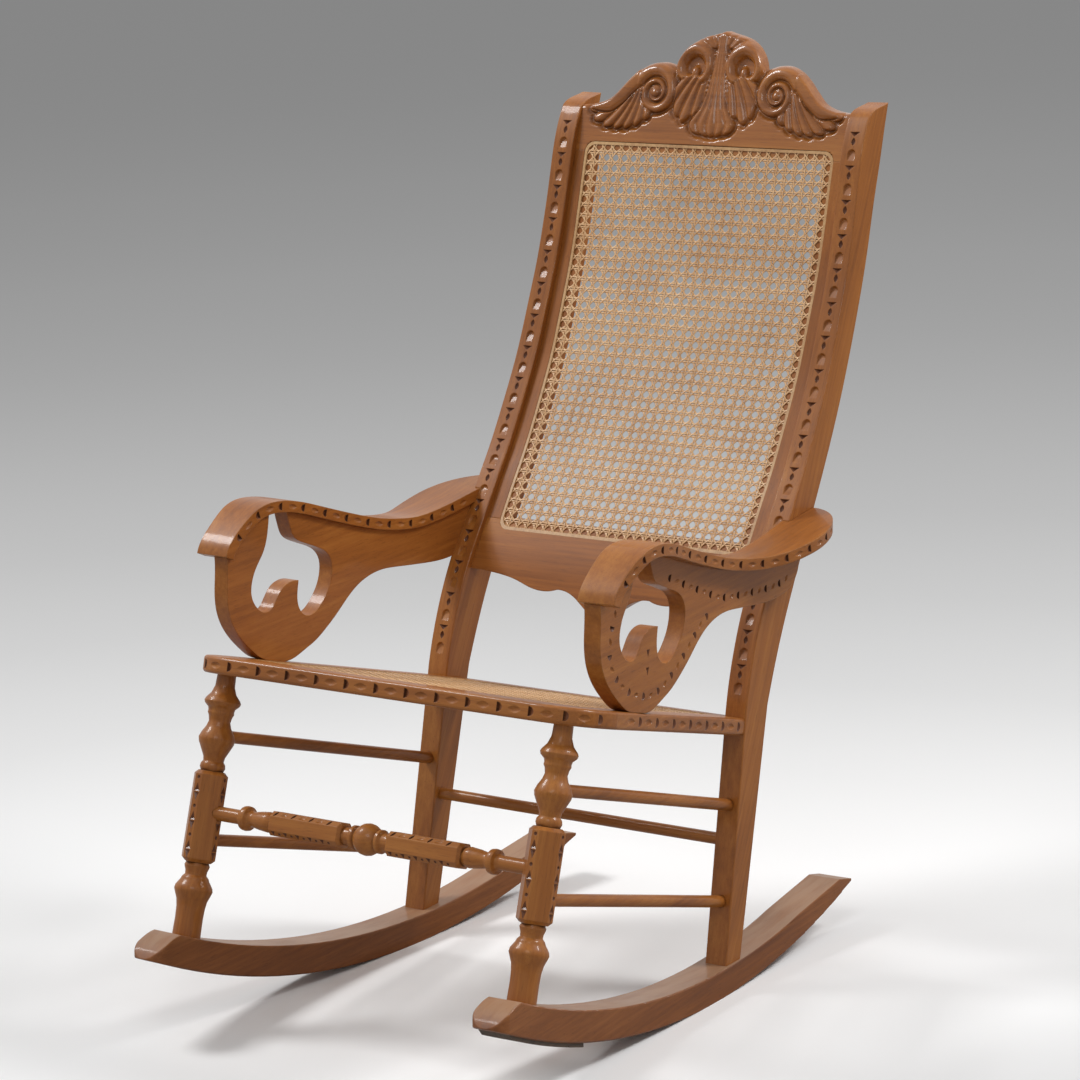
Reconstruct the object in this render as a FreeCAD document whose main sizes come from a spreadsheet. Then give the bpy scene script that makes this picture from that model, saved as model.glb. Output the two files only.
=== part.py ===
"""Caned rocking chair: turned front legs, sawn rear posts, scrolled arms and two curved rockers.

The chair stands in its resting pose on the plane Z = 0. X runs across the chair, the front faces -Y,
and the origin is the middle of its footprint. Side-view stations are written as (distance behind the
tops of the front legs, height above the floor) in millimetres, for the chair rocked a little forward; at
the end every piece leans back with the chair until it rests on the short flats of the rockers.
"""
import FreeCAD, Part
import math
import os

import Sketcher

Vector = FreeCAD.Vector

DIMENSIONS = {
    # whole chair
    "origin_shift": 222.3,
    "chair_lean": 4.5,
    "rest_flat_depth": 1.1,
    "plan_taper": 2.86,
    # rockers
    "rocker_width": 43.0,
    "rocker_spread": 229.5,
    "rocker_radius": 918.6,
    "rocker_middle": 207.4,
    "rocker_top_radius": 915.5,
    "rocker_top_middle": 218.8,
    "rocker_top_height": 33.3,
    "rocker_round": 2.0,
    # front legs
    "leg_spread": 230.0,
    "leg_lean": 14.68,
    "leg_block_flat": 20.5,
    "leg_block_top": 108.0,
    "leg_block_length": 101.0,
    "leg_block_shoulder": 4.0,
    "leg_tenon_radius": 10.0,
    "leg_top_tenon": 14.0,
    # rear posts
    "post_width": 28.0,
    "post_spread": 213.6,
    "post_lean": 0.716,
    "post_round": 1.6,
    # stretchers
    "rung_radius": 6.8,
    "rung_tenon": 13.0,
    "front_stretcher_height": 215.4,
    "front_stretcher_flat": 15.0,
    "front_stretcher_span": 209.5,
    "front_stretcher_barrel": 100.0,
    # seat
    "seat_tilt": 11.585,
    "seat_height": 382.0,
    "seat_thickness": 19.0,
    "seat_round": 4.0,
    "seat_rail_width": 52.0,
    "cane_depth": 2.2,
    "cane_thickness": 1.6,
    "cane_spline_width": 3.4,
    "cane_opening_share": 0.62,
    # back
    "back_thickness": 15.0,
    "cane_half_width": 174.5,
    "cane_bottom": 478.0,
    "cane_top": 922.0,
    "cane_corner": 13.0,
    "cane_overlap": 11.0,
    "carving_depth": 6.0,
    # arms
    "arm_spread": 254.0,
    "arm_taper": 3.5,
    "arm_panel_thickness": 20.0,
    "arm_board_thickness": 13.0,
    "arm_board_width": 72.0,
    "dowel_radius": 4.0,
    "dowel_length": 24.0,
    "wear_strip_thickness": 4.6,
    "fit_gap": 0.1,
}

# Side view of the rear post: front edge from the seat up, crown, and rear edge back down.
POST_FRONT = [(350.5, 320), (371, 395), (390.5, 440), (417, 486), (445, 534), (462, 562), (492, 619),
              (518.5, 676), (539.5, 734), (555.5, 781), (568, 828), (578.5, 875), (588.5, 922), (604, 961)]
POST_CROWN = [(604, 961), (613, 968), (629, 973), (646, 977)]
POST_REAR = [(646, 977), (637, 945), (628.5, 912), (616, 868), (602, 812), (582.5, 748), (562, 690),
             (539.5, 634), (515, 581), (488, 527), (464, 480), (444, 440), (426, 402), (405, 350), (391, 310)]
POST_FOOT_FRONT = (305.8, 20)
POST_FOOT_REAR = (332.5, 20)

# Side view of the caned back's front surface, which lies a little behind the posts' front edges.
BACK_SURFACE = [(366, 360), (379.5, 396), (398, 440), (424.5, 486), (452.5, 534), (469.5, 562), (499.5, 619),
                (526, 676), (547, 734), (563, 781), (575.5, 828), (586, 875), (595.5, 918), (604, 952),
                (612, 983), (630, 1056), (637.5, 1086)]

# Front view of half the crest and half the apron, as (distance from the middle, height).
CREST_OUTLINE = [(0, 1054), (9, 1051), (22, 1048), (36, 1043), (48, 1034), (57, 1021), (61, 1009)]
CREST_SHOULDER = [(61, 1009), (68, 1012), (80, 1015.5), (94, 1015), (108, 1009.5), (122, 998.5), (134, 986),
                  (147, 974), (165, 967), (178, 965)]
# The carved crest: a plain strip along the cane that rises at its two ends, two volutes, a middle leaf and
# two spreading side leaves.
CREST_STRIP = (169.0, 933.0)
VOLUTE_CENTRE = (82.0, 981.0)
VOLUTE_RADIUS = 27.0
MIDDLE_LEAF = [(0, 936), (16, 948), (30, 968), (38, 992), (37, 1014), (26, 1033), (10, 1044), (0, 1047)]
SIDE_LEAF = [(97, 932.5), (120, 932.5), (146, 936), (170, 947), (160, 958), (141, 964), (124, 972),
             (112, 962), (104, 948), (97, 932.5)]
APRON_LOBE = [(0, 396), (12, 398.5), (24, 405), (38, 414), (52, 419.5), (65, 420.5)]
APRON_WING = [(65, 420.5), (78, 417.5), (92, 417.5), (106, 420), (121, 424.5), (136, 428), (160, 431),
              (180, 432.5)]

# Side view of the arm board's top, from the drooping tip to the rear end beside the post.
ARM_TOP = [(12, 491), (15, 499), (22, 508.5), (31, 517), (43, 526.5), (60, 537), (80, 543), (104, 543.5),
           (131, 539.5), (165, 530.5), (197, 521.5), (231, 512.5), (265, 505), (300, 500.5), (328, 499.5),
           (353, 502), (380, 507), (407, 513), (430, 518.5), (455, 524), (488, 530)]
# Plan of the arm board's outer edge, as (distance out from the panel's middle, distance back).
ARM_OUTER = [(31, 4), (31, 27), (33, 45), (35.5, 65), (36, 85), (34, 118), (28.5, 150), (25, 180), (24, 230),
             (25.5, 280), (30, 308), (36, 333), (44, 358), (50, 385), (52, 408), (49.5, 430), (42, 452),
             (29, 471), (12, 484), (-6, 489)]
ARM_INNER = -14.5

# Side view of the arm panel: below the board, round the foot, and along the rear bracket.
PANEL_FRONT = [(18.3, 463), (17.7, 447), (20.5, 426), (28.5, 408.5), (40, 394),
               (56, 379.5), (70, 369.5), (80, 365.6)]
PANEL_REAR = [(108, 359.86), (124, 362), (140, 368.5), (158, 376.5), (175, 387.5), (196, 404), (214, 420),
              (232, 432.5), (250, 440), (270, 444), (300, 444), (340, 442.5), (372, 442.5), (400, 446.5),
              (418, 454), (429, 465), (434, 480), (435, 500)]
# Side view of the cut-out: the keyhole below the board, with the upright spur in its floor.
CUTOUT_RIGHT = [(112, 536), (114, 528), (119, 512), (125, 500), (140, 491.5), (162, 484), (178, 476),
                (186.5, 464), (187, 450), (182.5, 436), (172, 421), (158, 409.5), (145, 407.5), (136, 413),
                (130.5, 424), (130, 436), (132, 449.5)]
CUTOUT_LEFT = [(132, 449.5), (119, 449.5), (106, 444), (96, 432.5), (86, 421.5), (75, 420.5), (64, 427.5),
               (56.5, 440), (57, 457), (65, 474), (75, 488), (81, 503), (84, 520), (86, 536)]

# Side view of the rockers: the front leg's station, the rounded nose, the tail and the strip under the front.
ROCKER_PIVOT = 74.0
ROCKER_NOSE = [(-103, 91.7), (-112, 90.2), (-121, 87), (-130, 82.6), (-138, 76.8), (-143, 71.6), (-144.5, 70)]
ROCKER_TAIL_TOP = 463.0
ROCKER_TAIL_CORNER = (554.7, 87.4)
ROCKER_TIP = 580.7
ROCKER_TIP_BLUNT = 4.0
WEAR_STRIP = (-124.0, 15.5)
WEAR_STRIP_NICK = -13.0

# Heights of the plain rungs at the front leg's axis and at the post's front, then the rung between the posts.
RUNG_HEIGHTS = {"upper": (296.5, 214.0), "lower": (184.9, 107.5)}
REAR_RUNG = (342.0, 172.0)

# Plan of the seat, as (distance from the middle, distance back along the tilted seat).
SEAT_CORNER = [(205, -25.5), (228, -24), (246, -17), (259, -3), (266, 17), (268, 42)]
SEAT_REAR_CORNER = (222.6, 358)
SEAT_CANE_FRONT = 36.0
SEAT_CANE_REAR = 356.0
# Openings of each cane web across and along: a coarse grid in place of the fine weave.
SEAT_GRID = (12, 9)
BACK_GRID = (12, 15)

# Turned profiles, as (distance along the axis, radius).
LEG_TOP_TURNING = [(0, 10.4), (14, 11), (22, 14), (28, 19), (31, 20.4), (34, 19.4), (38, 15.2), (41, 14.4),
                   (44, 14.7), (47, 13.2), (53, 12), (59, 13.8), (66, 18), (72, 20.4), (77, 19.4), (85, 15.6),
                   (92, 12.2), (97, 11.4), (100, 13.6), (104, 14.2), (108, 12.5)]
LEG_FOOT_TURNING = [(209, 12.5), (213, 14.2), (219, 12.2), (223, 12), (226, 14.8), (229, 16), (232, 18),
                    (236, 20.6), (240, 21.4), (245, 19.6), (251, 17.2), (259, 15.9), (271, 15.4), (294, 15.8)]
STRETCHER_TURNING = [(0, 17.6), (5, 16.8), (10, 14.2), (14, 10.6), (16, 13), (19.5, 13), (22, 9.8), (27, 9.4),
                     (31, 9.5)]
STRETCHER_END = [(131, 9.5), (138, 11.4), (150, 10.2), (160, 8.4), (164, 10), (166, 13.2), (169.5, 13.8),
                 (173, 13.2), (175, 9.4), (179, 8), (209.5, 8)]

document = FreeCAD.newDocument("RockingChair")
sheet = document.addObject("Spreadsheet::Sheet", "Sizes")
for row, (alias, number) in enumerate(DIMENSIONS.items(), start=1):
    sheet.set(f"A{row}", alias)
    sheet.set(f"B{row}", str(number))
    sheet.setAlias(f"B{row}", alias)
document.recompute()

SHIFT = sheet.get("origin_shift")
GAP = sheet.get("fit_gap")
FINISHED = []


def size(alias):
    """Return one driving dimension of the sheet."""
    return float(sheet.get(alias))


def keep(piece, label):
    """Name a finished piece and list it for export."""
    piece.Label = label
    FINISHED.append(piece)
    return piece


def bind(piece, path, formula):
    """Tie one property to the sheet; words of the formula that are aliases get the sheet's name."""
    words = []
    for word in formula.split(" "):
        words.append(f"Sizes.{word}" if word in DIMENSIONS else word)
    piece.setExpression(path, " ".join(words))


def side_name(side):
    """Return the side, as seen from the front, for the sign of X."""
    return "left" if side < 0 else "right"


def place(piece, base, axis=(0, 0, 1), angle=0.0):
    """Put a piece at a point given in side-view stations."""
    spot = Vector(base[0], base[1] - SHIFT, base[2])
    piece.Placement = FreeCAD.Placement(spot, FreeCAD.Rotation(Vector(*axis), angle))


def new_body(name):
    """Return an empty body."""
    return document.addObject("PartDesign::Body", name)


def sketch_on(body, role, name):
    """Return a sketch on one of the body's own origin planes."""
    sketch = body.newObject("Sketcher::SketchObject", name)
    plane = [feature for feature in body.Origin.OriginFeatures if feature.Role == role][0]
    sketch.AttachmentSupport = [(plane, "")]
    sketch.MapMode = "FlatFace"
    return sketch


def flat(point):
    """Return a sketch point as a vector."""
    return Vector(point[0], point[1], 0)


def add_lines(sketch, points):
    """Draw straight lines through the points."""
    for start, end in zip(points, points[1:]):
        sketch.addGeometry(Part.LineSegment(flat(start), flat(end)), False)


def add_spline(sketch, points):
    """Draw one smooth curve through the points."""
    curve = Part.BSplineCurve()
    curve.interpolate([flat(point) for point in points])
    sketch.addGeometry(curve, False)


def add_circle(sketch, centre, alias):
    """Draw a circle whose radius follows the sheet."""
    index = sketch.addGeometry(Part.Circle(flat(centre), Vector(0, 0, 1), size(alias)), False)
    sketch.addConstraint(Sketcher.Constraint("Radius", index, size(alias)))
    bind(sketch, f"Constraints[{sketch.ConstraintCount - 1}]", alias)


def mirror(points):
    """Return a half outline reflected in the middle of the chair, in reverse order."""
    return [(-first, second) for first, second in reversed(points)]


def offset(points, distance):
    """Return a side-view curve moved square to itself, backwards for a positive distance."""
    moved = []
    for index, (depth, height) in enumerate(points):
        before = points[max(index - 1, 0)]
        after = points[min(index + 1, len(points) - 1)]
        run = (after[0] - before[0], after[1] - before[1])
        length = math.hypot(*run)
        moved.append((depth + distance * run[1] / length, height - distance * run[0] / length))
    return moved


def pad(body, sketch, formula, symmetric=False, reverse=False):
    """Extrude a sketch by a length from the sheet."""
    feature = body.newObject("PartDesign::Pad", "Pad")
    feature.Profile = sketch
    bind(feature, "Length", formula)
    if symmetric:
        feature.SideType = "Symmetric"
    feature.Reversed = reverse
    document.recompute()
    return feature


def pocket_through(body, sketch):
    """Cut a sketch right through the body, both ways."""
    before = body.Shape.Volume
    feature = body.newObject("PartDesign::Pocket", "Pocket")
    feature.Profile = sketch
    feature.Type = 1
    feature.SideType = "Symmetric"
    document.recompute()
    assert body.Shape.Volume < before - 1.0, f"{body.Name}: a pocket cut nothing"
    return feature


def round_edges(body, chooser, alias):
    """Round the edges of the body's last feature that the chooser picks."""
    base = body.Tip
    names = []
    for index, edge in enumerate(base.Shape.Edges, start=1):
        if chooser(edge):
            names.append(f"Edge{index}")
    feature = body.newObject("PartDesign::Fillet", "Fillet")
    feature.Base = (base, names)
    bind(feature, "Radius", alias)
    document.recompute()
    return feature


def cut(label, base, tools):
    """Remove the mating pieces from a blank and keep the result."""
    for number, tool in enumerate(tools):
        result = document.addObject("Part::Cut", f"{label}_{number}")
        result.Base = base
        result.Tool = tool
        base = result
    document.recompute()
    return keep(base, label)


def rod(name, start, end, alias, extra=0.0):
    """Return a round bar between two points given in side-view stations."""
    bar = document.addObject("Part::Cylinder", name)
    first = Vector(start[0], start[1] - SHIFT, start[2])
    last = Vector(end[0], end[1] - SHIFT, end[2])
    axis = last - first
    bind(bar, "Radius", f"{alias} + {extra}")
    bar.Height = axis.Length
    bar.Placement = FreeCAD.Placement(first, FreeCAD.Rotation(Vector(0, 0, 1), axis))
    return bar


def revolve(body, points, axis_role):
    """Turn a closed profile about one of the body's origin axes."""
    plane = "XZ_Plane"
    sketch = sketch_on(body, plane, "Profile")
    add_lines(sketch, points + points[:1])
    feature = body.newObject("PartDesign::Revolution", "Turning")
    feature.Profile = sketch
    line = [item for item in body.Origin.OriginFeatures if item.Role == axis_role][0]
    feature.ReferenceAxis = (line, [""])
    feature.Angle = 360.0
    document.recompute()
    return feature


def axis_point(side, distance):
    """Return the point of a front leg's axis at a distance down from the seat's underside."""
    lean = math.radians(size("leg_lean"))
    top = size("seat_height") - size("seat_thickness")
    return (side * size("leg_spread"), -distance * math.sin(lean), top - distance * math.cos(lean))


def rocker_edge(station, radius, middle, lowest):
    """Return the height of a circular edge at a station."""
    return lowest + radius - math.sqrt(radius ** 2 - (station - middle) ** 2)


def rocker_bottom(station):
    """Return the height of the rocker's running edge."""
    return rocker_edge(station, size("rocker_radius"), size("rocker_middle"), 0.0)


def rocker_top(station):
    """Return the height of the rocker's upper edge."""
    lowest = size("rocker_top_height")
    return rocker_edge(station, size("rocker_top_radius"), size("rocker_top_middle"), lowest)


def add_arc(sketch, edge, start, end, lift=0.0):
    """Draw a circular edge of the rocker between two stations."""
    middle = (start + end) / 2
    points = [flat((station + ROCKER_PIVOT, edge(station) + lift)) for station in (start, middle, end)]
    return sketch.addGeometry(Part.Arc(*points), False)


def place_rocker(piece, side):
    """Turn a rocker piece in towards the rear, about the front leg's foot."""
    spread = side * size("rocker_spread")
    place(piece, (spread, -ROCKER_PIVOT, 0), angle=side * size("plan_taper"))


def build_rocker(side):
    """Return the bent runner, with a rounded nose and a tapered tail."""
    body = new_body(f"RockerBlank{side_name(side)}")
    nose = [(station + ROCKER_PIVOT, height) for station, height in ROCKER_NOSE]
    end = rocker_bottom(ROCKER_TIP)
    tail = [(ROCKER_TIP, end), (ROCKER_TIP, end + ROCKER_TIP_BLUNT), ROCKER_TAIL_CORNER,
            (ROCKER_TAIL_TOP, rocker_top(ROCKER_TAIL_TOP))]
    tail = [(station + ROCKER_PIVOT, height) for station, height in tail]
    nose[0] = (nose[0][0], rocker_top(ROCKER_NOSE[0][0]))
    nose[-1] = (nose[-1][0], rocker_bottom(ROCKER_NOSE[-1][0]))
    sketch = sketch_on(body, "YZ_Plane", "SideView")
    bottom = add_arc(sketch, rocker_bottom, ROCKER_NOSE[-1][0], ROCKER_TIP)
    add_lines(sketch, tail)
    add_arc(sketch, rocker_top, ROCKER_TAIL_TOP, ROCKER_NOSE[0][0])
    add_spline(sketch, nose)
    sketch.addConstraint(Sketcher.Constraint("Radius", bottom, size("rocker_radius")))
    bind(sketch, "Constraints[0]", "rocker_radius")
    pad(body, sketch, "rocker_width", symmetric=True)
    half = size("rocker_width") / 2
    front = nose[-1][0]
    rounding = [(half, front + 21), (half - 1.5, front + 12), (half - 6.5, front + 5)]
    rounding = rounding + [(half - 13.5, front + 1.2)]
    rounding = rounding + [(0, front)] + mirror(rounding)
    outside = [(-half, front + 21), (-half - 9, front + 21), (-half - 9, front - 9), (half + 9, front - 9)]
    outside = outside + [(half + 9, front + 21), (half, front + 21)]
    plan = sketch_on(body, "XY_Plane", "NosePlan")
    add_spline(plan, rounding)
    add_lines(plan, outside)
    pocket_through(body, plan)
    round_edges(body, lambda edge: edge.Curve.TypeId != "Part::GeomLine" or edge.Length > 60, "rocker_round")
    place_rocker(body, side)
    return body


def build_wear_strip(side):
    """Return the thin strip under the front of a rocker, with its nick."""
    body = new_body("WearStrip")
    sketch = sketch_on(body, "YZ_Plane", "SideView")
    drop = size("wear_strip_thickness")
    front = WEAR_STRIP[0] + ROCKER_PIVOT
    rear = WEAR_STRIP[1] + ROCKER_PIVOT
    add_arc(sketch, rocker_bottom, *WEAR_STRIP)
    add_lines(sketch, [(rear, rocker_bottom(WEAR_STRIP[1])), (rear, rocker_bottom(WEAR_STRIP[1]) - drop)])
    add_arc(sketch, rocker_bottom, WEAR_STRIP[1], WEAR_STRIP[0] + 6, lift=-drop)
    tip = (front + 6, rocker_bottom(WEAR_STRIP[0] + 6) - drop)
    add_lines(sketch, [tip, (front, rocker_bottom(WEAR_STRIP[0]))])
    pad(body, sketch, "rocker_width - 5", symmetric=True)
    nick = WEAR_STRIP_NICK + ROCKER_PIVOT
    low = rocker_bottom(WEAR_STRIP_NICK) - drop
    cutter = sketch_on(body, "YZ_Plane", "Nick")
    add_lines(cutter, [(nick - 2, low - 2), (nick + 2, low - 2), (nick, low + 3), (nick - 2, low - 2)])
    pocket_through(body, cutter)
    place_rocker(body, side)
    return keep(body, f"rocker_wear_strip_{side_name(side)}")


def facet_corners(facet, half_facet):
    """Return the corners of a square turned block whose arrises are cut to narrow facets."""
    corners = []
    for number in range(4):
        turn = math.pi / 2 * number
        for across in (-half_facet, half_facet):
            corners.append((facet * math.cos(turn) - across * math.sin(turn),
                            facet * math.sin(turn) + across * math.cos(turn)))
    return corners + corners[:1]


def add_barrel(body, plane, corners, start, formula):
    """Pad one faceted barrel from a distance along the turning's axis."""
    sketch = sketch_on(body, plane, "Barrel")
    sketch.AttachmentOffset = FreeCAD.Placement(Vector(0, 0, start), FreeCAD.Rotation())
    add_lines(sketch, corners)
    return pad(body, sketch, formula)


def chamfer_ends(body, axis, planes, alias):
    """Soften the end edges of the barrels that stand square to the axis."""
    base = body.Tip
    names = []
    for index, edge in enumerate(base.Shape.Edges, start=1):
        ends = [getattr(vertex.Point, axis) for vertex in edge.Vertexes]
        straight = edge.Curve.TypeId == "Part::GeomLine"
        at_end = any(all(abs(end - plane) < 0.01 for end in ends) for plane in planes)
        if straight and at_end:
            names.append(f"Edge{index}")
    feature = body.newObject("PartDesign::Chamfer", "Shoulder")
    feature.Base = (base, names)
    bind(feature, "Size", alias)
    document.recompute()


def build_front_leg(side):
    """Return the turned leg: two vases, a faceted block, a foot and a round tenon at each end."""
    body = new_body(f"LegBlank{side_name(side)}")
    turning = LEG_TOP_TURNING + LEG_FOOT_TURNING
    tenon = size("leg_tenon_radius")
    foot = turning[-1][0]
    points = [(0, size("leg_top_tenon")), (turning[0][1], size("leg_top_tenon"))]
    points = points + [(radius, -distance) for distance, radius in turning]
    points = points + [(tenon, -foot), (tenon, -foot - 17), (0, -foot - 17)]
    revolve(body, points, "Z_Axis")
    block_end = -size("leg_block_top") - size("leg_block_length")
    add_barrel(body, "XY_Plane", facet_corners(size("leg_block_flat"), 4.6), block_end, "leg_block_length")
    chamfer_ends(body, "z", (block_end, -size("leg_block_top")), "leg_block_shoulder")
    place(body, axis_point(side, 0), (1, 0, 0), -size("leg_lean"))
    bind(body, "Placement.Base.x", f"{side} * leg_spread")
    return body


def build_front_stretcher():
    """Return the turned front stretcher: a middle ball, two faceted barrels and ringed ends."""
    body = new_body("FrontStretcher")
    half = STRETCHER_TURNING + STRETCHER_END
    tenon_end = size("front_stretcher_span") + size("rung_tenon")
    half = half + [(tenon_end, half[-1][1])]
    points = mirror(half)[:-1] + half
    points = points + [(tenon_end, 0), (-tenon_end, 0)]
    revolve(body, points, "X_Axis")
    turned = [((first - second) * math.sqrt(0.5), (first + second) * math.sqrt(0.5))
              for first, second in facet_corners(size("front_stretcher_flat"), 3.8)]
    for start in (-131, 31):
        add_barrel(body, "YZ_Plane", turned, start, "front_stretcher_barrel")
    chamfer_ends(body, "x", (-131, -31, 31, 131), "leg_block_shoulder - 1")
    drop = axis_point(1, 0)[2] - size("front_stretcher_height")
    centre = axis_point(1, drop / math.cos(math.radians(size("leg_lean"))))
    place(body, (0, centre[1], centre[2]), (1, 0, 0), -size("leg_lean"))
    bind(body, "Placement.Base.z", "front_stretcher_height")
    return body


def post_centre(side, height):
    """Return the middle of a rear post's width at a height."""
    return side * (size("post_spread") - height * math.tan(math.radians(size("post_lean"))))


def build_post(side):
    """Return the sawn rear post: leg and back upright in one bent plank."""
    body = new_body(f"PostBlank{side_name(side)}")
    sketch = sketch_on(body, "YZ_Plane", "SideView")
    add_lines(sketch, [POST_FOOT_REAR, POST_FOOT_FRONT, POST_FRONT[0]])
    add_spline(sketch, POST_FRONT)
    add_spline(sketch, POST_CROWN)
    add_spline(sketch, POST_REAR)
    add_lines(sketch, [POST_REAR[-1], POST_FOOT_REAR])
    pad(body, sketch, "post_width", symmetric=True)
    half = size("post_width") / 2
    round_edges(body, lambda edge: edge.Length > 200 and abs(abs(edge.CenterOfMass.x) - half) < 0.01
                and edge.CenterOfMass.z > 320, "post_round")
    place(body, (side * size("post_spread"), 0, 0), (0, 1, 0), -side * size("post_lean"))
    bind(body, "Placement.Base.x", f"{side} * post_spread")
    return body


def plate(name, outlines, frame, formula):
    """Return a flat plate: closed outlines of lines and curves, extruded along the frame's normal."""
    sketch = document.addObject("Sketcher::SketchObject", f"{name}Outline")
    for draw, points in outlines:
        draw(sketch, points)
    sketch.Placement = frame
    solid = document.addObject("Part::Extrusion", name)
    solid.Base = sketch
    solid.DirMode = "Normal"
    solid.Solid = True
    bind(solid, "LengthFwd", formula)
    return solid


def boolean(kind, name, pieces):
    """Return the union or overlap of several pieces."""
    result = document.addObject(kind, name)
    result.Shapes = pieces
    document.recompute()
    return result


def seat_frame(depth=0.0):
    """Return the placement of the tilted seat, with its normal pointing down from its top face."""
    tilt = FreeCAD.Rotation(Vector(1, 0, 0), -size("seat_tilt"))
    flip = FreeCAD.Rotation(Vector(0, 1, 0), 180)
    base = Vector(0, -SHIFT, size("seat_height")) + tilt.multVec(Vector(0, 0, -depth))
    return FreeCAD.Placement(base, tilt.multiply(flip))


def seat_point(across, back, depth):
    """Return a point of the seat, from its plan and its depth below the top face, in stations."""
    tilt = math.radians(size("seat_tilt"))
    station = back * math.cos(tilt) - depth * math.sin(tilt)
    height = size("seat_height") - back * math.sin(tilt) - depth * math.cos(tilt)
    return (across, station, height)


def side_edge(back):
    """Return the seat's half width behind its front corners."""
    start, end = SEAT_CORNER[-1], SEAT_REAR_CORNER
    return start[0] + (end[0] - start[0]) * (back - start[1]) / (end[1] - start[1])


def cane_plan(inset):
    """Return the outline of the seat's caned field, drawn in from its edge, as line corners."""
    front = SEAT_CANE_FRONT + inset
    rear = SEAT_CANE_REAR - inset
    margin = size("seat_rail_width") - size("cane_overlap") + inset
    right = [(side_edge(front) - margin, front), (side_edge(rear) - margin, rear)]
    return right + [(-across, back) for across, back in reversed(right)] + right[:1]


def grid_openings(grid, corner):
    """Return a plain grid of four-sided openings; the function places the shares across and along a web."""
    columns, rows = grid
    half = size("cane_opening_share") / 2
    outlines = []
    for column in range(columns):
        for row in range(rows):
            across = [(column + 0.5 + side * half) / columns for side in (-1, 1)]
            along = [(row + 0.5 + side * half) / rows for side in (-1, 1)]
            points = [corner(across[0], along[0]), corner(across[1], along[0]),
                      corner(across[1], along[1]), corner(across[0], along[1])]
            outlines.append((add_lines, points + points[:1]))
    return outlines


def seat_web_point(across, along):
    """Return a point of the seat's web from its shares across and along it."""
    back = SEAT_CANE_FRONT + (SEAT_CANE_REAR - SEAT_CANE_FRONT) * along
    half = side_edge(back) - size("seat_rail_width") + size("cane_overlap")
    return ((2 * across - 1) * half, back)


def back_web_point(across, along):
    """Return a point of the back's web, in the front view, from its shares across and along it."""
    rise = size("cane_top") - size("cane_bottom")
    return ((2 * across - 1) * size("cane_half_width"), size("cane_bottom") + rise * along)


def soften(name, piece, chooser, alias):
    """Round chosen edges of a plate."""
    document.recompute()
    result = document.addObject("Part::Fillet", name)
    result.Base = piece
    radius = size(alias)
    edges = enumerate(piece.Shape.Edges, start=1)
    result.Edges = [(index, radius, radius) for index, edge in edges if chooser(edge)]
    document.recompute()
    return result


def across_grain(edge, rise=0.3):
    """Tell whether an edge runs along the seat instead of through its thickness."""
    start, end = edge.Vertexes[0].Point, edge.Vertexes[-1].Point
    return abs(end.z - start.z) < rise * (end - start).Length + 0.01


def build_seat():
    """Keep the seat's cane and spline, and return the blanks of its four rails and their rabbet."""
    frame = seat_frame()
    thick = "seat_thickness"
    margin = size("seat_rail_width")
    rear_edge = SEAT_CANE_REAR - size("cane_overlap")
    front_edge = SEAT_CANE_FRONT + size("cane_overlap")
    joint = side_edge(front_edge)
    corner = SEAT_CORNER
    front_lines = [corner[-1], (joint, front_edge), (-joint, front_edge), (-corner[-1][0], corner[-1][1])]
    edge = [(-corner[0][0], corner[0][1]), corner[0]]
    outline = [(add_spline, corner), (add_lines, front_lines), (add_spline, mirror(corner))]
    front = plate("FrontRailBlank", outline + [(add_lines, edge)], frame, thick)
    limit_back = seat_point(0, front_edge - 1, 0)[1] - SHIFT
    front = soften("FrontRailRounded", front, lambda edge: across_grain(edge)
                   and edge.CenterOfMass.y < limit_back, "seat_round")
    rails = []
    post_in = inner_face(300) + 0.3
    for side in (-1, 1):
        outline = [(joint, front_edge), (side_edge(375), 375), (post_in, 375), (post_in, rear_edge),
                   (side_edge(rear_edge) - margin, rear_edge), (joint - margin, front_edge)]
        outline = [(-side * across, back) for across, back in outline + outline[:1]]
        rail = plate(f"SideRailBlank{side_name(side)}", [(add_lines, outline)], frame, thick)
        limit = post_in
        rail = soften(f"SideRailRounded{side_name(side)}", rail, lambda edge: across_grain(edge)
                      and edge.Length > 250 and abs(edge.CenterOfMass.x) > limit + 20, "seat_round")
        rails.append(rail)
    half = inner_face(315)
    outline = [(-half, rear_edge), (half, rear_edge), (half, 392), (-half, 392), (-half, rear_edge)]
    rear = plate("RearRailBlank", [(add_lines, outline)], frame, thick)
    rabbet = plate("SeatRabbet", [(add_lines, cane_plan(0))], seat_frame(-1), "cane_depth + 1")
    blanks = {"front": front, "rear": rear, "left": rails[0], "right": rails[1]}
    ring = [(add_lines, cane_plan(GAP)), (add_lines, cane_plan(size("cane_spline_width")))]
    ring = plate("SeatSplineRing", ring, seat_frame(0.2), "cane_depth - 0.2")
    keep(ring, "seat_cane_spline")
    inner = size("cane_spline_width") + GAP
    recess = size("cane_depth") - size("cane_thickness")
    web = [(add_lines, cane_plan(inner))] + grid_openings(SEAT_GRID, seat_web_point)
    cane = plate("SeatCane", web, seat_frame(recess), "cane_thickness")
    keep(cane, "seat_cane_panel")
    return blanks, rabbet


def back_frame():
    """Return the placement of a side-view sketch, extruded across the chair."""
    return FreeCAD.Placement(Vector(0, -SHIFT, 0), FreeCAD.Rotation(Vector(1, 1, 1), 120))


def front_frame():
    """Return the placement of a front-view sketch, extruded towards the rear."""
    return FreeCAD.Placement(Vector(0, -SHIFT, 0), FreeCAD.Rotation(Vector(1, 0, 0), 90))


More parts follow.
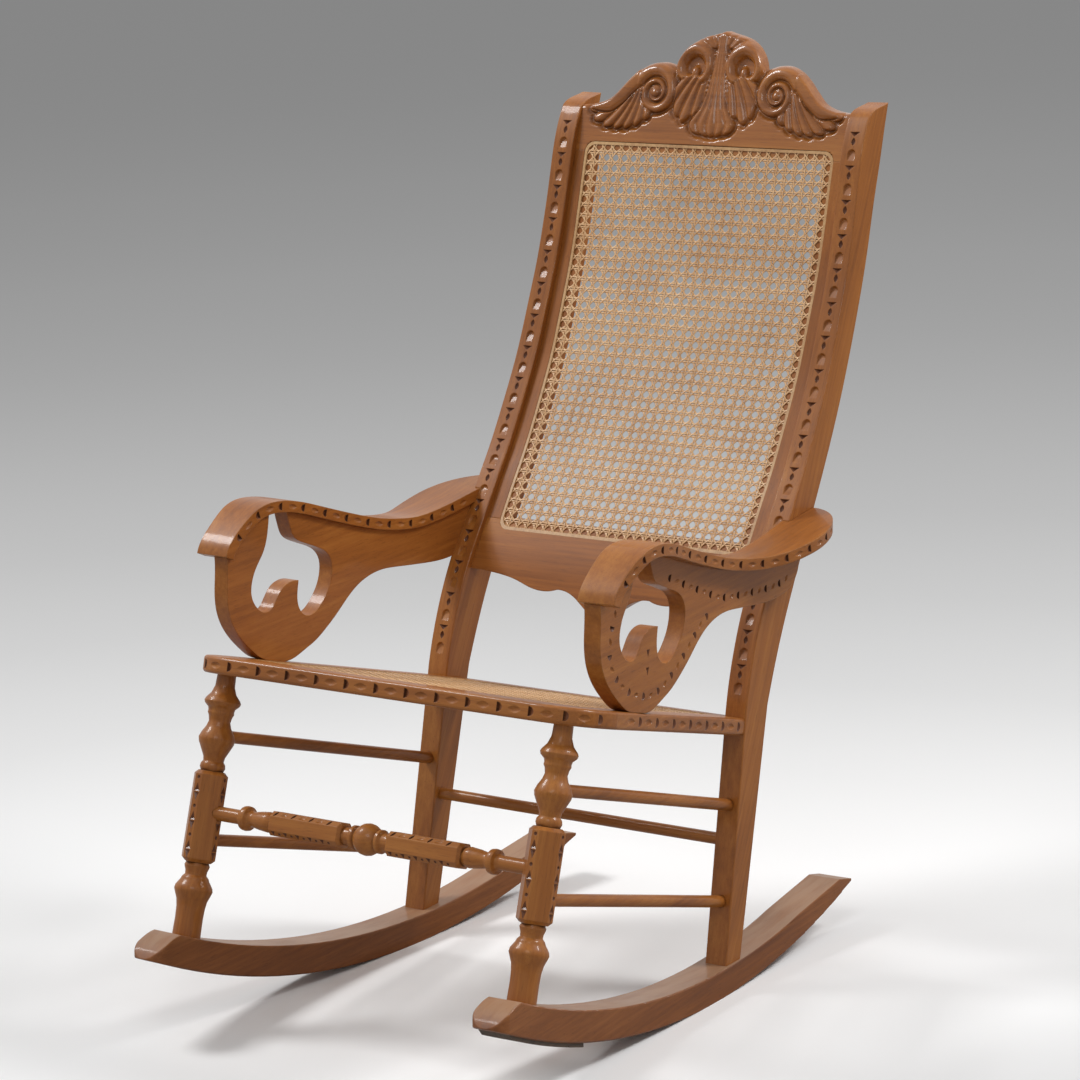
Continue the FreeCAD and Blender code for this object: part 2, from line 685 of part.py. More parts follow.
def back_point(height, depth):
    """Return the station of the back's slab at a height and a depth behind its front surface."""
    curve = offset(BACK_SURFACE, depth)
    for (near, low), (far, high) in zip(curve, curve[1:]):
        if low <= height <= high:
            return near + (far - near) * (height - low) / (high - low)
    return curve[-1][0]


def slab(name, shallow, deep):
    """Return the bent slab of the back between two depths, wide enough for every piece of it."""
    near = offset(BACK_SURFACE, shallow)
    far = offset(BACK_SURFACE, deep)
    solid = plate(name, [(add_spline, near), (add_lines, [near[-1], far[-1]]), (add_spline, far[::-1]),
                         (add_lines, [far[0], near[0]])], back_frame(), "post_spread * 2")
    solid.Symmetric = True
    return solid


def shaped(name, shallow, deep, outlines):
    """Return a piece of the back: the bent slab inside a front-view outline."""
    view = plate(f"{name}View", outlines, front_frame(), "2000")
    view.Symmetric = True
    return boolean("Part::MultiCommon", name, [slab(f"{name}Slab", shallow, deep), view])


def rounded_field(inset):
    """Return the caned field of the back as lines and corner curves, drawn in from its edge."""
    half = size("cane_half_width") - inset
    low = size("cane_bottom") + inset
    high = size("cane_top") - inset
    radius = size("cane_corner") - inset / 2
    diagonal = radius * (1 - math.sqrt(0.5))
    outlines = []
    for across, height in ((1, low), (1, high), (-1, high), (-1, low)):
        up = 1 if height == low else -1
        begin = (across * (half - radius), height)
        middle = (across * (half - diagonal), height + up * diagonal)
        end = (across * half, height + up * radius)
        outlines.append((add_corner, [begin, middle, end]))
    outlines.append((add_lines, [(half, low + radius), (half, high - radius)]))
    outlines.append((add_lines, [(-half, low + radius), (-half, high - radius)]))
    outlines.append((add_lines, [(half - radius, low), (radius - half, low)]))
    outlines.append((add_lines, [(half - radius, high), (radius - half, high)]))
    return outlines


def add_corner(sketch, points):
    """Draw one round corner through three points."""
    sketch.addGeometry(Part.Arc(*[flat(point) for point in points]), False)


def inner_face(height):
    """Return the distance of a post's inner face from the middle of the chair."""
    return post_centre(1, height) - size("post_width") / 2 / math.cos(math.radians(size("post_lean")))


def crest_end():
    """Return the crest's short straight edge beside a post, from the post inwards."""
    across, crown = CREST_SHOULDER[-1]
    return [(inner_face(crown), crown - 0.6), (across, crown)]


def crest_relief(foot):
    """Return the raised parts of the crest's front: the strip above the cane and the five carved motifs."""
    middle = size("back_thickness") / 2
    strip = [(inner_face(foot), foot)] + crest_end() + [CREST_STRIP]
    strip = strip + mirror(strip)
    pieces = [shaped("CrestStrip", 0, middle, [(add_lines, strip + strip[:1])])]
    leaf = [(add_spline, MIDDLE_LEAF), (add_spline, mirror(MIDDLE_LEAF))]
    pieces.append(shaped("CrestLeaf", 0, middle, leaf))
    across, height = VOLUTE_CENTRE
    for side in (-1, 1):
        top = (side * across, height + VOLUTE_RADIUS)
        bottom = (side * across, height - VOLUTE_RADIUS)
        sides = [(side * across + turn * VOLUTE_RADIUS, height) for turn in (-1, 1)]
        halves = [(add_corner, [top, middle_point, bottom]) for middle_point in sides]
        pieces.append(shaped(f"CrestVolute{side_name(side)}", 0, middle, halves))
        outline = [(side * first, second) for first, second in SIDE_LEAF]
        pieces.append(shaped(f"CrestFan{side_name(side)}", 0, middle, [(add_spline, outline)]))
    return pieces


def build_back():
    """Keep the back's cane and spline, and return the blanks of its four wooden members."""
    thick = size("back_thickness")
    low = size("cane_bottom") + size("cane_overlap")
    high = size("cane_top") - size("cane_overlap")
    foot = APRON_WING[-1][1]
    crest_sides = crest_end()[::-1] + [(inner_face(high), high)]
    ground = shaped("CrestGround", size("carving_depth"), thick, [
        (add_spline, CREST_OUTLINE), (add_spline, CREST_SHOULDER), (add_lines, crest_sides),
        (add_lines, [crest_sides[-1], (-crest_sides[-1][0], high)]), (add_lines, mirror(crest_sides)),
        (add_spline, mirror(CREST_SHOULDER)), (add_spline, mirror(CREST_OUTLINE))])
    crest = boolean("Part::MultiFuse", "CrestBlank", [ground] + crest_relief(high))
    rail_sides = [(inner_face(low), low), (inner_face(foot), foot), (180, foot)]
    rail = shaped("BottomRailBlank", 0, thick, [
        (add_lines, [(-rail_sides[0][0], low), rail_sides[0]]), (add_lines, rail_sides),
        (add_spline, APRON_WING), (add_spline, APRON_LOBE), (add_spline, mirror(APRON_LOBE)),
        (add_spline, mirror(APRON_WING)), (add_lines, mirror(rail_sides))])
    blanks = {"crest_rail": crest, "back_bottom_rail": rail}
    inner = size("cane_half_width") - size("cane_overlap")
    for side in (-1, 1):
        outline = [(inner, low), (inner_face(low), low), (inner_face(high), high), (inner, high)]
        outline = [(side * across, height) for across, height in outline + outline[:1]]
        name = f"back_stile_{side_name(side)}"
        blanks[name] = shaped(f"StileBlank{side_name(side)}", 0, thick, [(add_lines, outline)])
    rabbet = shaped("BackRabbet", -1, size("cane_depth"), rounded_field(0))
    ring_outer = shaped("BackSplineOuter", 0.2, size("cane_depth"), rounded_field(GAP))
    inside = rounded_field(size("cane_spline_width"))
    ring_inner = shaped("BackSplineInner", -1, size("cane_depth") + 1, inside)
    cut("back_cane_spline", ring_outer, [ring_inner])
    recess = size("cane_depth") - size("cane_thickness")
    cane = shaped("BackCane", recess, size("cane_depth"), rounded_field(size("cane_spline_width") + GAP))
    openings = plate("BackOpenings", grid_openings(BACK_GRID, back_web_point), front_frame(), "2000")
    openings.Symmetric = True
    cut("back_cane_panel", cane, [openings])
    return blanks, rabbet


def place_arm(piece, side):
    """Turn an arm piece in towards the rear."""
    place(piece, (side * size("arm_spread"), 0, 0), angle=side * size("arm_taper"))
    bind(piece, "Placement.Base.x", f"{side} * arm_spread")


def build_arm_board(side):
    """Return the arm's top board: a waved plank with a drooping scroll at the front."""
    body = new_body(f"ArmBoardBlank{side_name(side)}")
    under = offset(ARM_TOP, size("arm_board_thickness"))
    sketch = sketch_on(body, "YZ_Plane", "SideView")
    add_spline(sketch, ARM_TOP)
    add_lines(sketch, [ARM_TOP[-1], under[-1]])
    add_spline(sketch, under[::-1])
    add_lines(sketch, [under[0], ARM_TOP[0]])
    pad(body, sketch, "arm_board_width * 2", symmetric=True)
    outer = [(side * across, back) for across, back in ARM_OUTER]
    inner = side * ARM_INNER
    reach = side * (size("arm_board_width") + 5)
    plan = sketch_on(body, "XY_Plane", "Plan")
    add_spline(plan, outer)
    add_lines(plan, [outer[-1], (inner, 495), (inner, -2), outer[0]])
    add_lines(plan, [(-reach, -30), (reach, -30), (reach, 530), (-reach, 530), (-reach, -30)])
    pocket_through(body, plan)
    place_arm(body, side)
    return body


def build_arm_panel(side):
    """Return the arm's side panel with its keyhole cut-out."""
    body = new_body(f"ArmPanelBlank{side_name(side)}")
    seam = [point for point in offset(ARM_TOP, size("arm_board_thickness") / 2) if point[0] < 436]
    sketch = sketch_on(body, "YZ_Plane", "SideView")
    add_spline(sketch, [seam[0]] + PANEL_FRONT)
    add_lines(sketch, [PANEL_FRONT[-1], PANEL_REAR[0]])
    add_spline(sketch, PANEL_REAR)
    add_lines(sketch, [PANEL_REAR[-1], seam[-1]])
    add_spline(sketch, seam[::-1])
    pad(body, sketch, "arm_panel_thickness", symmetric=True)
    hole = sketch_on(body, "YZ_Plane", "CutOut")
    add_spline(hole, CUTOUT_RIGHT)
    add_spline(hole, CUTOUT_LEFT)
    add_lines(hole, [CUTOUT_LEFT[-1], CUTOUT_RIGHT[0]])
    pocket_through(body, hole)
    place_arm(body, side)
    return body


def arm_point(side, across, back, height):
    """Return a point of an arm's own plan in stations."""
    turn = math.radians(size("arm_taper"))
    outward = size("arm_spread") + across * math.cos(turn) - back * math.sin(turn)
    return (side * outward, back * math.cos(turn) + across * math.sin(turn), height)


def resting_lean():
    """Return the roll of the whole chair, about the rockers' centre, down on to the flats it rests on."""
    centre = Vector(0, size("rocker_middle") - SHIFT, size("rocker_radius"))
    turn = FreeCAD.Rotation(Vector(1, 0, 0), -size("chair_lean"))
    base = centre - turn.multVec(centre) - Vector(0, 0, size("rest_flat_depth"))
    return FreeCAD.Placement(base, turn)


def post_front(height):
    """Return the station of the straight lower front edge of a rear post."""
    (foot, low), (top, high) = POST_FOOT_FRONT, POST_FRONT[0]
    return foot + (top - foot) * (height - low) / (high - low)


def along(start, end, before, after):
    """Return a line's two ends moved: the start forward by one distance, the end on by another."""
    first = Vector(*start)
    last = Vector(*end)
    step = (last - first).normalize()
    return tuple(first + step * before), tuple(last + step * after)


def build_rungs(side):
    """Keep one side's two plain rungs, and return the holes that take their ends."""
    holes = []
    for level, (front_height, rear_height) in RUNG_HEIGHTS.items():
        drop = axis_point(side, 0)[2] - front_height
        leg = axis_point(side, drop / math.cos(math.radians(size("leg_lean"))))
        post = (post_centre(side, rear_height), post_front(rear_height), rear_height)
        label = f"side_stretcher_{level}_{side_name(side)}"
        start, end = along(leg, post, 7.0, size("rung_tenon"))
        keep(rod(f"Rung{level}{side_name(side)}", start, end, "rung_radius"), label)
        start, end = along(leg, post, 6.5, size("rung_tenon") + 0.5)
        holes.append(rod(f"RungHole{level}{side_name(side)}", start, end, "rung_radius", GAP))
    return holes


def dowel_group(label, spots):
    """Keep a group of equal dowels, and return the holes for them as one tool."""
    pins = []
    holes = []
    reach = size("dowel_length") / 2
    for number, (centre, direction) in enumerate(spots):
        middle = Vector(*centre)
        half = Vector(*direction).normalize() * reach
        slack = half * (1 + 0.5 / reach)
        pins.append(rod(f"{label}_pin{number}", tuple(middle - half), tuple(middle + half), "dowel_radius"))
        ends = (tuple(middle - slack), tuple(middle + slack))
        holes.append(rod(f"{label}_hole{number}", *ends, "dowel_radius", GAP))
    group = document.addObject("Part::Compound", f"{label}_group")
    group.Links = pins
    keep(group, label)
    return boolean("Part::MultiFuse", f"{label}_holes", holes)


def seat_dowel_spots():
    """Return the dowels between the seat's rails and the posts."""
    tilt = math.radians(size("seat_tilt"))
    back = (0, math.cos(tilt), -math.sin(tilt))
    middle = size("seat_thickness") / 2
    front_edge = SEAT_CANE_FRONT + size("cane_overlap")
    spots = []
    for side in (-1, 1):
        for across in (side_edge(front_edge) - 38, side_edge(front_edge) - 16):
            spots.append((seat_point(side * across, front_edge, middle), back))
        for across in (-7, 6):
            spots.append((seat_point(post_centre(side, 300) + across, 356, middle), back))
        spots.append((seat_point(side * inner_face(302), 381, middle), (1, 0, 0)))
    return spots


def back_dowel_spots():
    """Return the dowels between the back's members and the posts."""
    depth = size("back_thickness") / 2
    low = size("cane_bottom") + size("cane_overlap")
    high = size("cane_top") - size("cane_overlap")
    spots = []
    for side in (-1, 1):
        for height in (446, 474, high + 14, high + 40):
            spots.append(((side * inner_face(height), back_point(height, depth), height), (1, 0, 0)))
        for height in (low, high):
            rise = back_point(height + 10, depth) - back_point(height - 10, depth)
            spots.append(((side * 180, back_point(height, depth + 1), height), (0, rise, 20)))
    return spots


def arm_dowel_spots():
    """Return the dowels between each arm's panel, its board, the seat and the post."""
    tilt = math.radians(size("seat_tilt"))
    under = size("arm_board_thickness")
    spots = []
    for side in (-1, 1):
        for back, top in ((50, 525), (165, 526), (330, 496)):
            spots.append((arm_point(side, 0, back, top - under), (0, 0, 1)))
        for back in (86, 101):
            across, station, height = arm_point(side, 0, back, 0)
            height = size("seat_height") - station * math.tan(tilt)
            spots.append(((across, station, height), (0, math.sin(tilt), math.cos(tilt))))
        for back, height in ((417, 466), (427, 483)):
            spots.append((arm_point(side, -size("arm_panel_thickness") / 2, back, height), (1, 0, 0)))
    return spots


posts = {side: build_post(side) for side in (-1, 1)}
legs = {side: build_front_leg(side) for side in (-1, 1)}
rockers = {side: build_rocker(side) for side in (-1, 1)}
boards = {side: build_arm_board(side) for side in (-1, 1)}
panels = {side: build_arm_panel(side) for side in (-1, 1)}
stretcher = keep(build_front_stretcher(), "front_stretcher")
build_wear_strip(1)

seat_blanks, seat_rabbet = build_seat()
back_blanks, back_rabbet = build_back()
seat_holes = dowel_group("seat_dowels", seat_dowel_spots())
back_holes = dowel_group("back_dowels", back_dowel_spots())
arm_holes = dowel_group("arm_dowels", arm_dowel_spots())

rear_station, rear_height = REAR_RUNG
rear_reach = inner_face(rear_height) + size("rung_tenon")
keep(rod("RearRung", (-rear_reach, rear_station, rear_height), (rear_reach, rear_station, rear_height),
         "rung_radius"), "rear_stretcher")
rear_hole = rod("RearRungHole", (-rear_reach - 0.5, rear_station, rear_height),
                (rear_reach + 0.5, rear_station, rear_height), "rung_radius", GAP)
stretcher_reach = size("front_stretcher_span") + size("rung_tenon") + 0.5
stretcher_spot = stretcher.Placement.Base
stretcher_ends = [(side * stretcher_reach, stretcher_spot.y + SHIFT, stretcher_spot.z) for side in (-1, 1)]
stretcher_hole = rod("FrontStretcherHole", *stretcher_ends, "leg_tenon_radius", GAP - 2.0)

lean = resting_lean()
floor = document.addObject("Part::Box", "Floor")
floor.Length = 800
floor.Width = 1200
floor.Height = 60
floor.Placement = lean.inverse().multiply(FreeCAD.Placement(Vector(-400, -600, -60), FreeCAD.Rotation()))

leg_holes = []
for side in (-1, 1):
    rung_holes = build_rungs(side)
    name = side_name(side)
    leg = cut(f"front_leg_{name}", legs[side], rung_holes + [stretcher_hole])
    top_hole = rod(f"LegTopHole{name}", axis_point(side, 5), axis_point(side, -size("leg_top_tenon") - 0.5),
                   "leg_tenon_radius", 0.4 + GAP)
    leg_holes.append(top_hole)
    foot = LEG_FOOT_TURNING[-1][0]
    foot_slack = LEG_FOOT_TURNING[-1][1] - size("leg_tenon_radius") + GAP
    foot_hole = rod(f"LegFootHole{name}", axis_point(side, foot - 30), axis_point(side, foot),
                    "leg_tenon_radius", foot_slack)
    tenon_hole = rod(f"LegTenonHole{name}", axis_point(side, foot - 5), axis_point(side, foot + 17.5),
                     "leg_tenon_radius", GAP)
    cut(f"rocker_{name}", rockers[side], [foot_hole, tenon_hole, posts[side], floor])
    cut(f"arm_board_{name}", boards[side], [arm_holes])
    cut(f"arm_panel_{name}", panels[side], [boards[side], arm_holes])
    cut(f"rear_post_{name}", posts[side], rung_holes + [rear_hole, panels[side], boards[side], seat_holes,
                                                        back_holes, arm_holes])
    cut(f"seat_side_rail_{name}", seat_blanks[name], [posts[side], seat_rabbet, seat_holes, arm_holes])

cut("seat_front_rail", seat_blanks["front"], [seat_rabbet, seat_holes] + leg_holes)
cut("seat_rear_rail", seat_blanks["rear"], [seat_rabbet, seat_holes])
for label, blank in back_blanks.items():
    cut(label, blank, [back_rabbet, back_holes])

document.recompute()
failed = [item.Name for item in document.Objects if "Invalid" in item.State or "Error" in item.State]
assert not failed, f"failed objects: {failed}"
os.makedirs("parts", exist_ok=True)
for piece in FINISHED:
    piece.Placement = lean.multiply(piece.Placement)
    solids = piece.Shape.Solids
    assert not piece.Shape.isNull() and piece.Shape.isValid(), f"{piece.Label} has a faulty shape"
    expected = len(piece.Links) if piece.TypeId == "Part::Compound" else 1
    assert len(solids) == expected, f"{piece.Label} has {len(solids)} solids"
    piece.Shape.exportStep(f"parts/{piece.Label}.step")
    print(f"{piece.Label}: {piece.Shape.Volume / 1000:.1f} cm3")
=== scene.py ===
"""Cane rocking chair: finishes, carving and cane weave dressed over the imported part.

The part stands on Z = 0 and faces -Y, in metres. Sizes of the chair's own pieces are written in
millimetres, as side-view stations (across, back, height) of the chair before it leans to its rest.
"""
import logging
import math
from dataclasses import dataclass
from enum import Enum
from typing import Callable, Optional, Sequence, Union

import bmesh
import bpy
import numpy as np
from mathutils import Matrix, Vector
from mathutils.bvhtree import BVHTree


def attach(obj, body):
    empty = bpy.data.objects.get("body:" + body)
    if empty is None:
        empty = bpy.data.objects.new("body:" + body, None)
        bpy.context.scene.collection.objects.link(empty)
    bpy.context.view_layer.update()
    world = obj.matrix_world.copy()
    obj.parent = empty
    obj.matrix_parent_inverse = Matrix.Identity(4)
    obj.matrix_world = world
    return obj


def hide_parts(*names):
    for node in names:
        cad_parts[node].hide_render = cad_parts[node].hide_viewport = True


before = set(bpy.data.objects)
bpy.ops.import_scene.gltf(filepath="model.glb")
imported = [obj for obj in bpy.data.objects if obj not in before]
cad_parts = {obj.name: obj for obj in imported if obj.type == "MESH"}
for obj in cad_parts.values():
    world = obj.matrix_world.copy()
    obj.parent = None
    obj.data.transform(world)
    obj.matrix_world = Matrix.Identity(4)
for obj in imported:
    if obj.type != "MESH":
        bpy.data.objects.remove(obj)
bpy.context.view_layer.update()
LOG = logging.getLogger("rocking_chair")
MM = 0.001
Point = tuple[float, float]
Spot = tuple[float, float, float]
Colour = tuple[float, float, float, float]
Operand = Union["Value", float]
Paint = Union["Value", Colour]
Relief = tuple[np.ndarray, np.ndarray]
SIDES = ((-1, "left"), (1, "right"))

# Sizes that several pieces share, in millimetres and radians
SEAT_TILT = math.radians(11.585)
SEAT_HEIGHT = 382.0
LEG_LEAN = math.radians(14.68)
POST_LEAN = math.radians(0.716)
CANE_HALF_WIDTH = 174.5
CANE_BOTTOM = 478.0
CANE_TOP = 922.0
CANE_CORNER = 13.0
CANE_MARGIN = 1.5
CANE_DEPTH = 1.4
WELD = 0.004


# Chair frame


@dataclass(frozen=True)
class Stations:
    """Side-view stations of the chair and the roll that brings it to its resting lean."""

    lean: float = math.radians(4.5)
    pivot: Point = (207.4, 918.6)
    rest: Point = (-14.9, 917.5)

    def world(self, points: np.ndarray) -> np.ndarray:
        """Turn stations into the part's frame.

        Args:
            points: Rows of across, back and height in millimetres.

        Returns:
            Rows of X, Y and Z in metres.
        """
        points = np.asarray(points, float)
        back = points[..., 1] - self.pivot[0]
        height = points[..., 2] - self.pivot[1]
        cosine, sine = math.cos(self.lean), math.sin(self.lean)
        rows = [points[..., 0], self.rest[0] + cosine * back + sine * height,
                self.rest[1] - sine * back + cosine * height]
        return np.stack(rows, axis=-1) * MM


STATIONS = Stations()


def on_seat(across: np.ndarray, back: np.ndarray, down: Union[np.ndarray, float]) -> np.ndarray:
    """Return stations of places in the tilted seat.

    Args:
        across: Distances from the seat's middle line.
        back: Distances back along the seat.
        down: Depths below its top.

    Returns:
        Rows of across, back and height.
    """
    cosine, sine = math.cos(SEAT_TILT), math.sin(SEAT_TILT)
    return np.column_stack([across, back * cosine - down * sine, SEAT_HEIGHT - back * sine - down * cosine])


class SmoothCurve:
    """A smooth curve through points, kept as samples with their running length."""

    def __init__(self, points: Sequence[Point], step: float = 0.5) -> None:
        """Fit the curve.

        Args:
            points: The points that it passes through.
            step: Distance between the samples that it is kept as.
        """
        knots = np.asarray(points, float)
        run = np.concatenate([[0.0], np.cumsum(np.hypot(*np.diff(knots, axis=0).T))])
        slopes = np.gradient(knots, run, axis=0)
        fine = np.arange(0.0, run[-1] + step, step).clip(0.0, run[-1])
        span = np.clip(np.searchsorted(run, fine, side="right") - 1, 0, len(run) - 2)
        width = (run[span + 1] - run[span])[:, None]
        part = ((fine - run[span]) / width[:, 0])[:, None]
        square, cube = part ** 2, part ** 3
        self.samples = (knots[span] * (2 * cube - 3 * square + 1)
                        + slopes[span] * width * (cube - 2 * square + part)
                        + knots[span + 1] * (3 * square - 2 * cube)
                        + slopes[span + 1] * width * (cube - square))
        self.run = np.concatenate([[0.0], np.cumsum(np.hypot(*np.diff(self.samples, axis=0).T))])
        self.length = float(self.run[-1])

    def at(self, distance: np.ndarray) -> np.ndarray:
        """Return the points at distances along the curve."""
        return np.stack([np.interp(distance, self.run, column) for column in self.samples.T], axis=-1)

    def normal(self, distance: np.ndarray) -> np.ndarray:
        """Return the unit normals to the right of the running direction.

        Args:
            distance: Distances along the curve.

        Returns:
            One row for each distance.
        """
        ahead = self.at(np.asarray(distance) + 1.0) - self.at(np.asarray(distance) - 1.0)
        ahead = ahead / np.linalg.norm(ahead, axis=-1, keepdims=True)
        return np.stack([ahead[..., 1], -ahead[..., 0]], axis=-1)

    def distance_at(self, axis: int, value: float) -> float:
        """Return the running distance at which one coordinate first reaches a value."""
        return float(self.run[int(np.argmax(self.samples[:, axis] >= value))])


BACK_SURFACE = SmoothCurve([
    (366, 360), (379.5, 396), (398, 440), (424.5, 486), (452.5, 534), (469.5, 562), (499.5, 619), (526, 676),
    (547, 734), (563, 781), (575.5, 828), (586, 875), (595.5, 918), (604, 952), (612, 983), (630, 1056),
    (637.5, 1086)])
CANE_START = BACK_SURFACE.distance_at(1, CANE_BOTTOM)
CANE_END = BACK_SURFACE.distance_at(1, CANE_TOP)


# Shader graph


def math_method(operation: str, reflected: bool = False) -> Callable[["Value", Operand], "Value"]:
    """Return the method behind one of Value's operators.

    Args:
        operation: Operation of the Math node.
        reflected: Whether the socket stands to the operator's right.

    Returns:
        The method.
    """
    def method(value: "Value", other: Operand) -> "Value":
        """Join the socket and another operand by one Math node."""
        sockets = dict(enumerate((other, value) if reflected else (value, other)))
        return value.graph.out("ShaderNodeMath", {"operation": operation}, sockets)

    return method


class Value:
    """One shader socket that takes part in Python expressions."""

    __add__, __radd__ = math_method("ADD"), math_method("ADD", True)
    __sub__, __rsub__ = math_method("SUBTRACT"), math_method("SUBTRACT", True)
    __mul__, __rmul__ = math_method("MULTIPLY"), math_method("MULTIPLY", True)
    __truediv__, __rtruediv__ = math_method("DIVIDE"), math_method("DIVIDE", True)
    __pow__, __rpow__ = math_method("POWER"), math_method("POWER", True)

    def __init__(self, graph: "ShaderGraph", socket: bpy.types.NodeSocket) -> None:
        """Keep the socket and the graph that it belongs to."""
        self.graph = graph
        self.socket = socket

    def between(self, low: float, high: float) -> "Value":
        """Return 0 below one value, 1 above another and a smooth rise between them."""
        sockets = {"Value": self, "From Min": low, "From Max": high}
        return self.graph.out("ShaderNodeMapRange", {"interpolation_type": "SMOOTHSTEP"}, sockets)


class ShaderGraph:
    """The node tree of one material or of the world."""

    def __init__(self, tree: bpy.types.NodeTree) -> None:
        """Empty the tree."""
        self.tree = tree
        tree.nodes.clear()

    def node(self, kind: str, settings: Optional[dict] = None,
             sockets: Optional[dict] = None) -> bpy.types.Node:
        """Add one node.

        Args:
            kind: The node's type.
            settings: Properties that are set first; "stops" holds a colour ramp's stops.
            sockets: Values or links of its inputs, by name or by number.

        Returns:
            The new node.
        """
        node = self.tree.nodes.new(kind)
        for name, value in (settings or {}).items():
            if name == "stops":
                self._set_stops(node, value)
            else:
                setattr(node, name, value)
        for key, value in (sockets or {}).items():
            if isinstance(value, Value):
                self.tree.links.new(value.socket, node.inputs[key])
            else:
                node.inputs[key].default_value = value
        return node

    @staticmethod
    def _set_stops(node: bpy.types.Node, stops: Sequence[tuple[float, Colour]]) -> None:
        """Give a colour ramp its stops.

        Args:
            node: The ramp.
            stops: Place and colour of each stop.
        """
        ramp = node.color_ramp
        while len(ramp.elements) < len(stops):
            ramp.elements.new(0.5)
        for element, (place, colour) in zip(ramp.elements, stops):
            element.position = place
            element.color = colour

    def out(self, kind: str, settings: Optional[dict] = None, sockets: Optional[dict] = None,
            output: Union[str, int] = 0) -> Value:
        """Add one node and return one of its outputs."""
        return Value(self, self.node(kind, settings, sockets).outputs[output])

    def mix(self, factor: Operand, first: Paint, second: Paint) -> Value:
        """Return the first colour with a share of the second laid over it."""
        return self.out("ShaderNodeMix", {"data_type": "RGBA"}, {0: factor, 6: first, 7: second}, 2)

    def ramp(self, factor: Value, stops: Sequence[tuple[float, Colour]]) -> Value:
        """Turn a value into a colour."""
        return self.out("ShaderNodeValToRGB", {"stops": stops}, {"Fac": factor})

    def place(self) -> Value:
        """Return the position in the part's own frame."""
        return self.out("ShaderNodeTexCoord", output="Object")

    def facing(self) -> Value:
        """Return the way the surface faces."""
        return self.out("ShaderNodeNewGeometry", output="Normal")

    def hidden(self, reach: float, settings: dict) -> Value:
        """Return how far a place is closed in by the shape within a reach in millimetres."""
        return 1.0 - self.out("ShaderNodeAmbientOcclusion", settings, {"Distance": reach * MM}, "AO")

    def agreement(self, first: Value, second: Value) -> Value:
        """Return 1 where two directions are the same, and less the further they lie apart."""
        return self.out("ShaderNodeVectorMath", {"operation": "DOT_PRODUCT"}, {0: first, 1: second}, "Value")

    def turned(self, place: Value, rotation: Sequence[float]) -> Value:
        """Return positions turned by three angles."""
        return self.out("ShaderNodeMapping", {}, {"Vector": place, "Rotation": rotation})

    def scaled(self, place: Value, scale: Sequence[float]) -> Value:
        """Return positions stretched along each axis."""
        return self.out("ShaderNodeVectorMath", {"operation": "MULTIPLY"}, {0: place, 1: scale})

    def noise(self, place: Value, scale: float, detail: float = 2.0, roughness: float = 0.5,
              distortion: float = 0.0) -> Value:
        """Return a smooth noise value."""
        sockets = {"Vector": place, "Scale": scale, "Detail": detail, "Roughness": roughness,
                   "Distortion": distortion}
        return self.out("ShaderNodeTexNoise", {}, sockets, "Fac")

    def surface(self, sockets: dict) -> None:
        """Add the surface shader and join it to the output."""
        shader = self.out("ShaderNodeBsdfPrincipled", {}, sockets)
        self.node("ShaderNodeOutputMaterial", {}, {"Surface": shader})


# Finishes


@dataclass(frozen=True)
class Finish:
    """A named finish, whose material is built once."""

    name: str

    def material(self) -> bpy.types.Material:
        """Return the finish's material.

        Returns:
            The material, which all pieces with this finish share.
        """
        material = bpy.data.materials.get(self.name)
        if material is None:
            material = bpy.data.materials.new(self.name)
            material.use_nodes = True
            self.paint(ShaderGraph(material.node_tree))
        return material

    def paint(self, graph: ShaderGraph) -> None:
        """Fill the empty graph of the material."""
        raise NotImplementedError


class Grain(Enum):
    """The way a piece's grain runs."""

    ACROSS = (1.0, 0.0, 0.0)
    ALONG = (0.0, 1.0, 0.05)
    UPRIGHT = (0.0, 0.45, 0.9)
    LEG = (0.0, 0.33, 0.94)


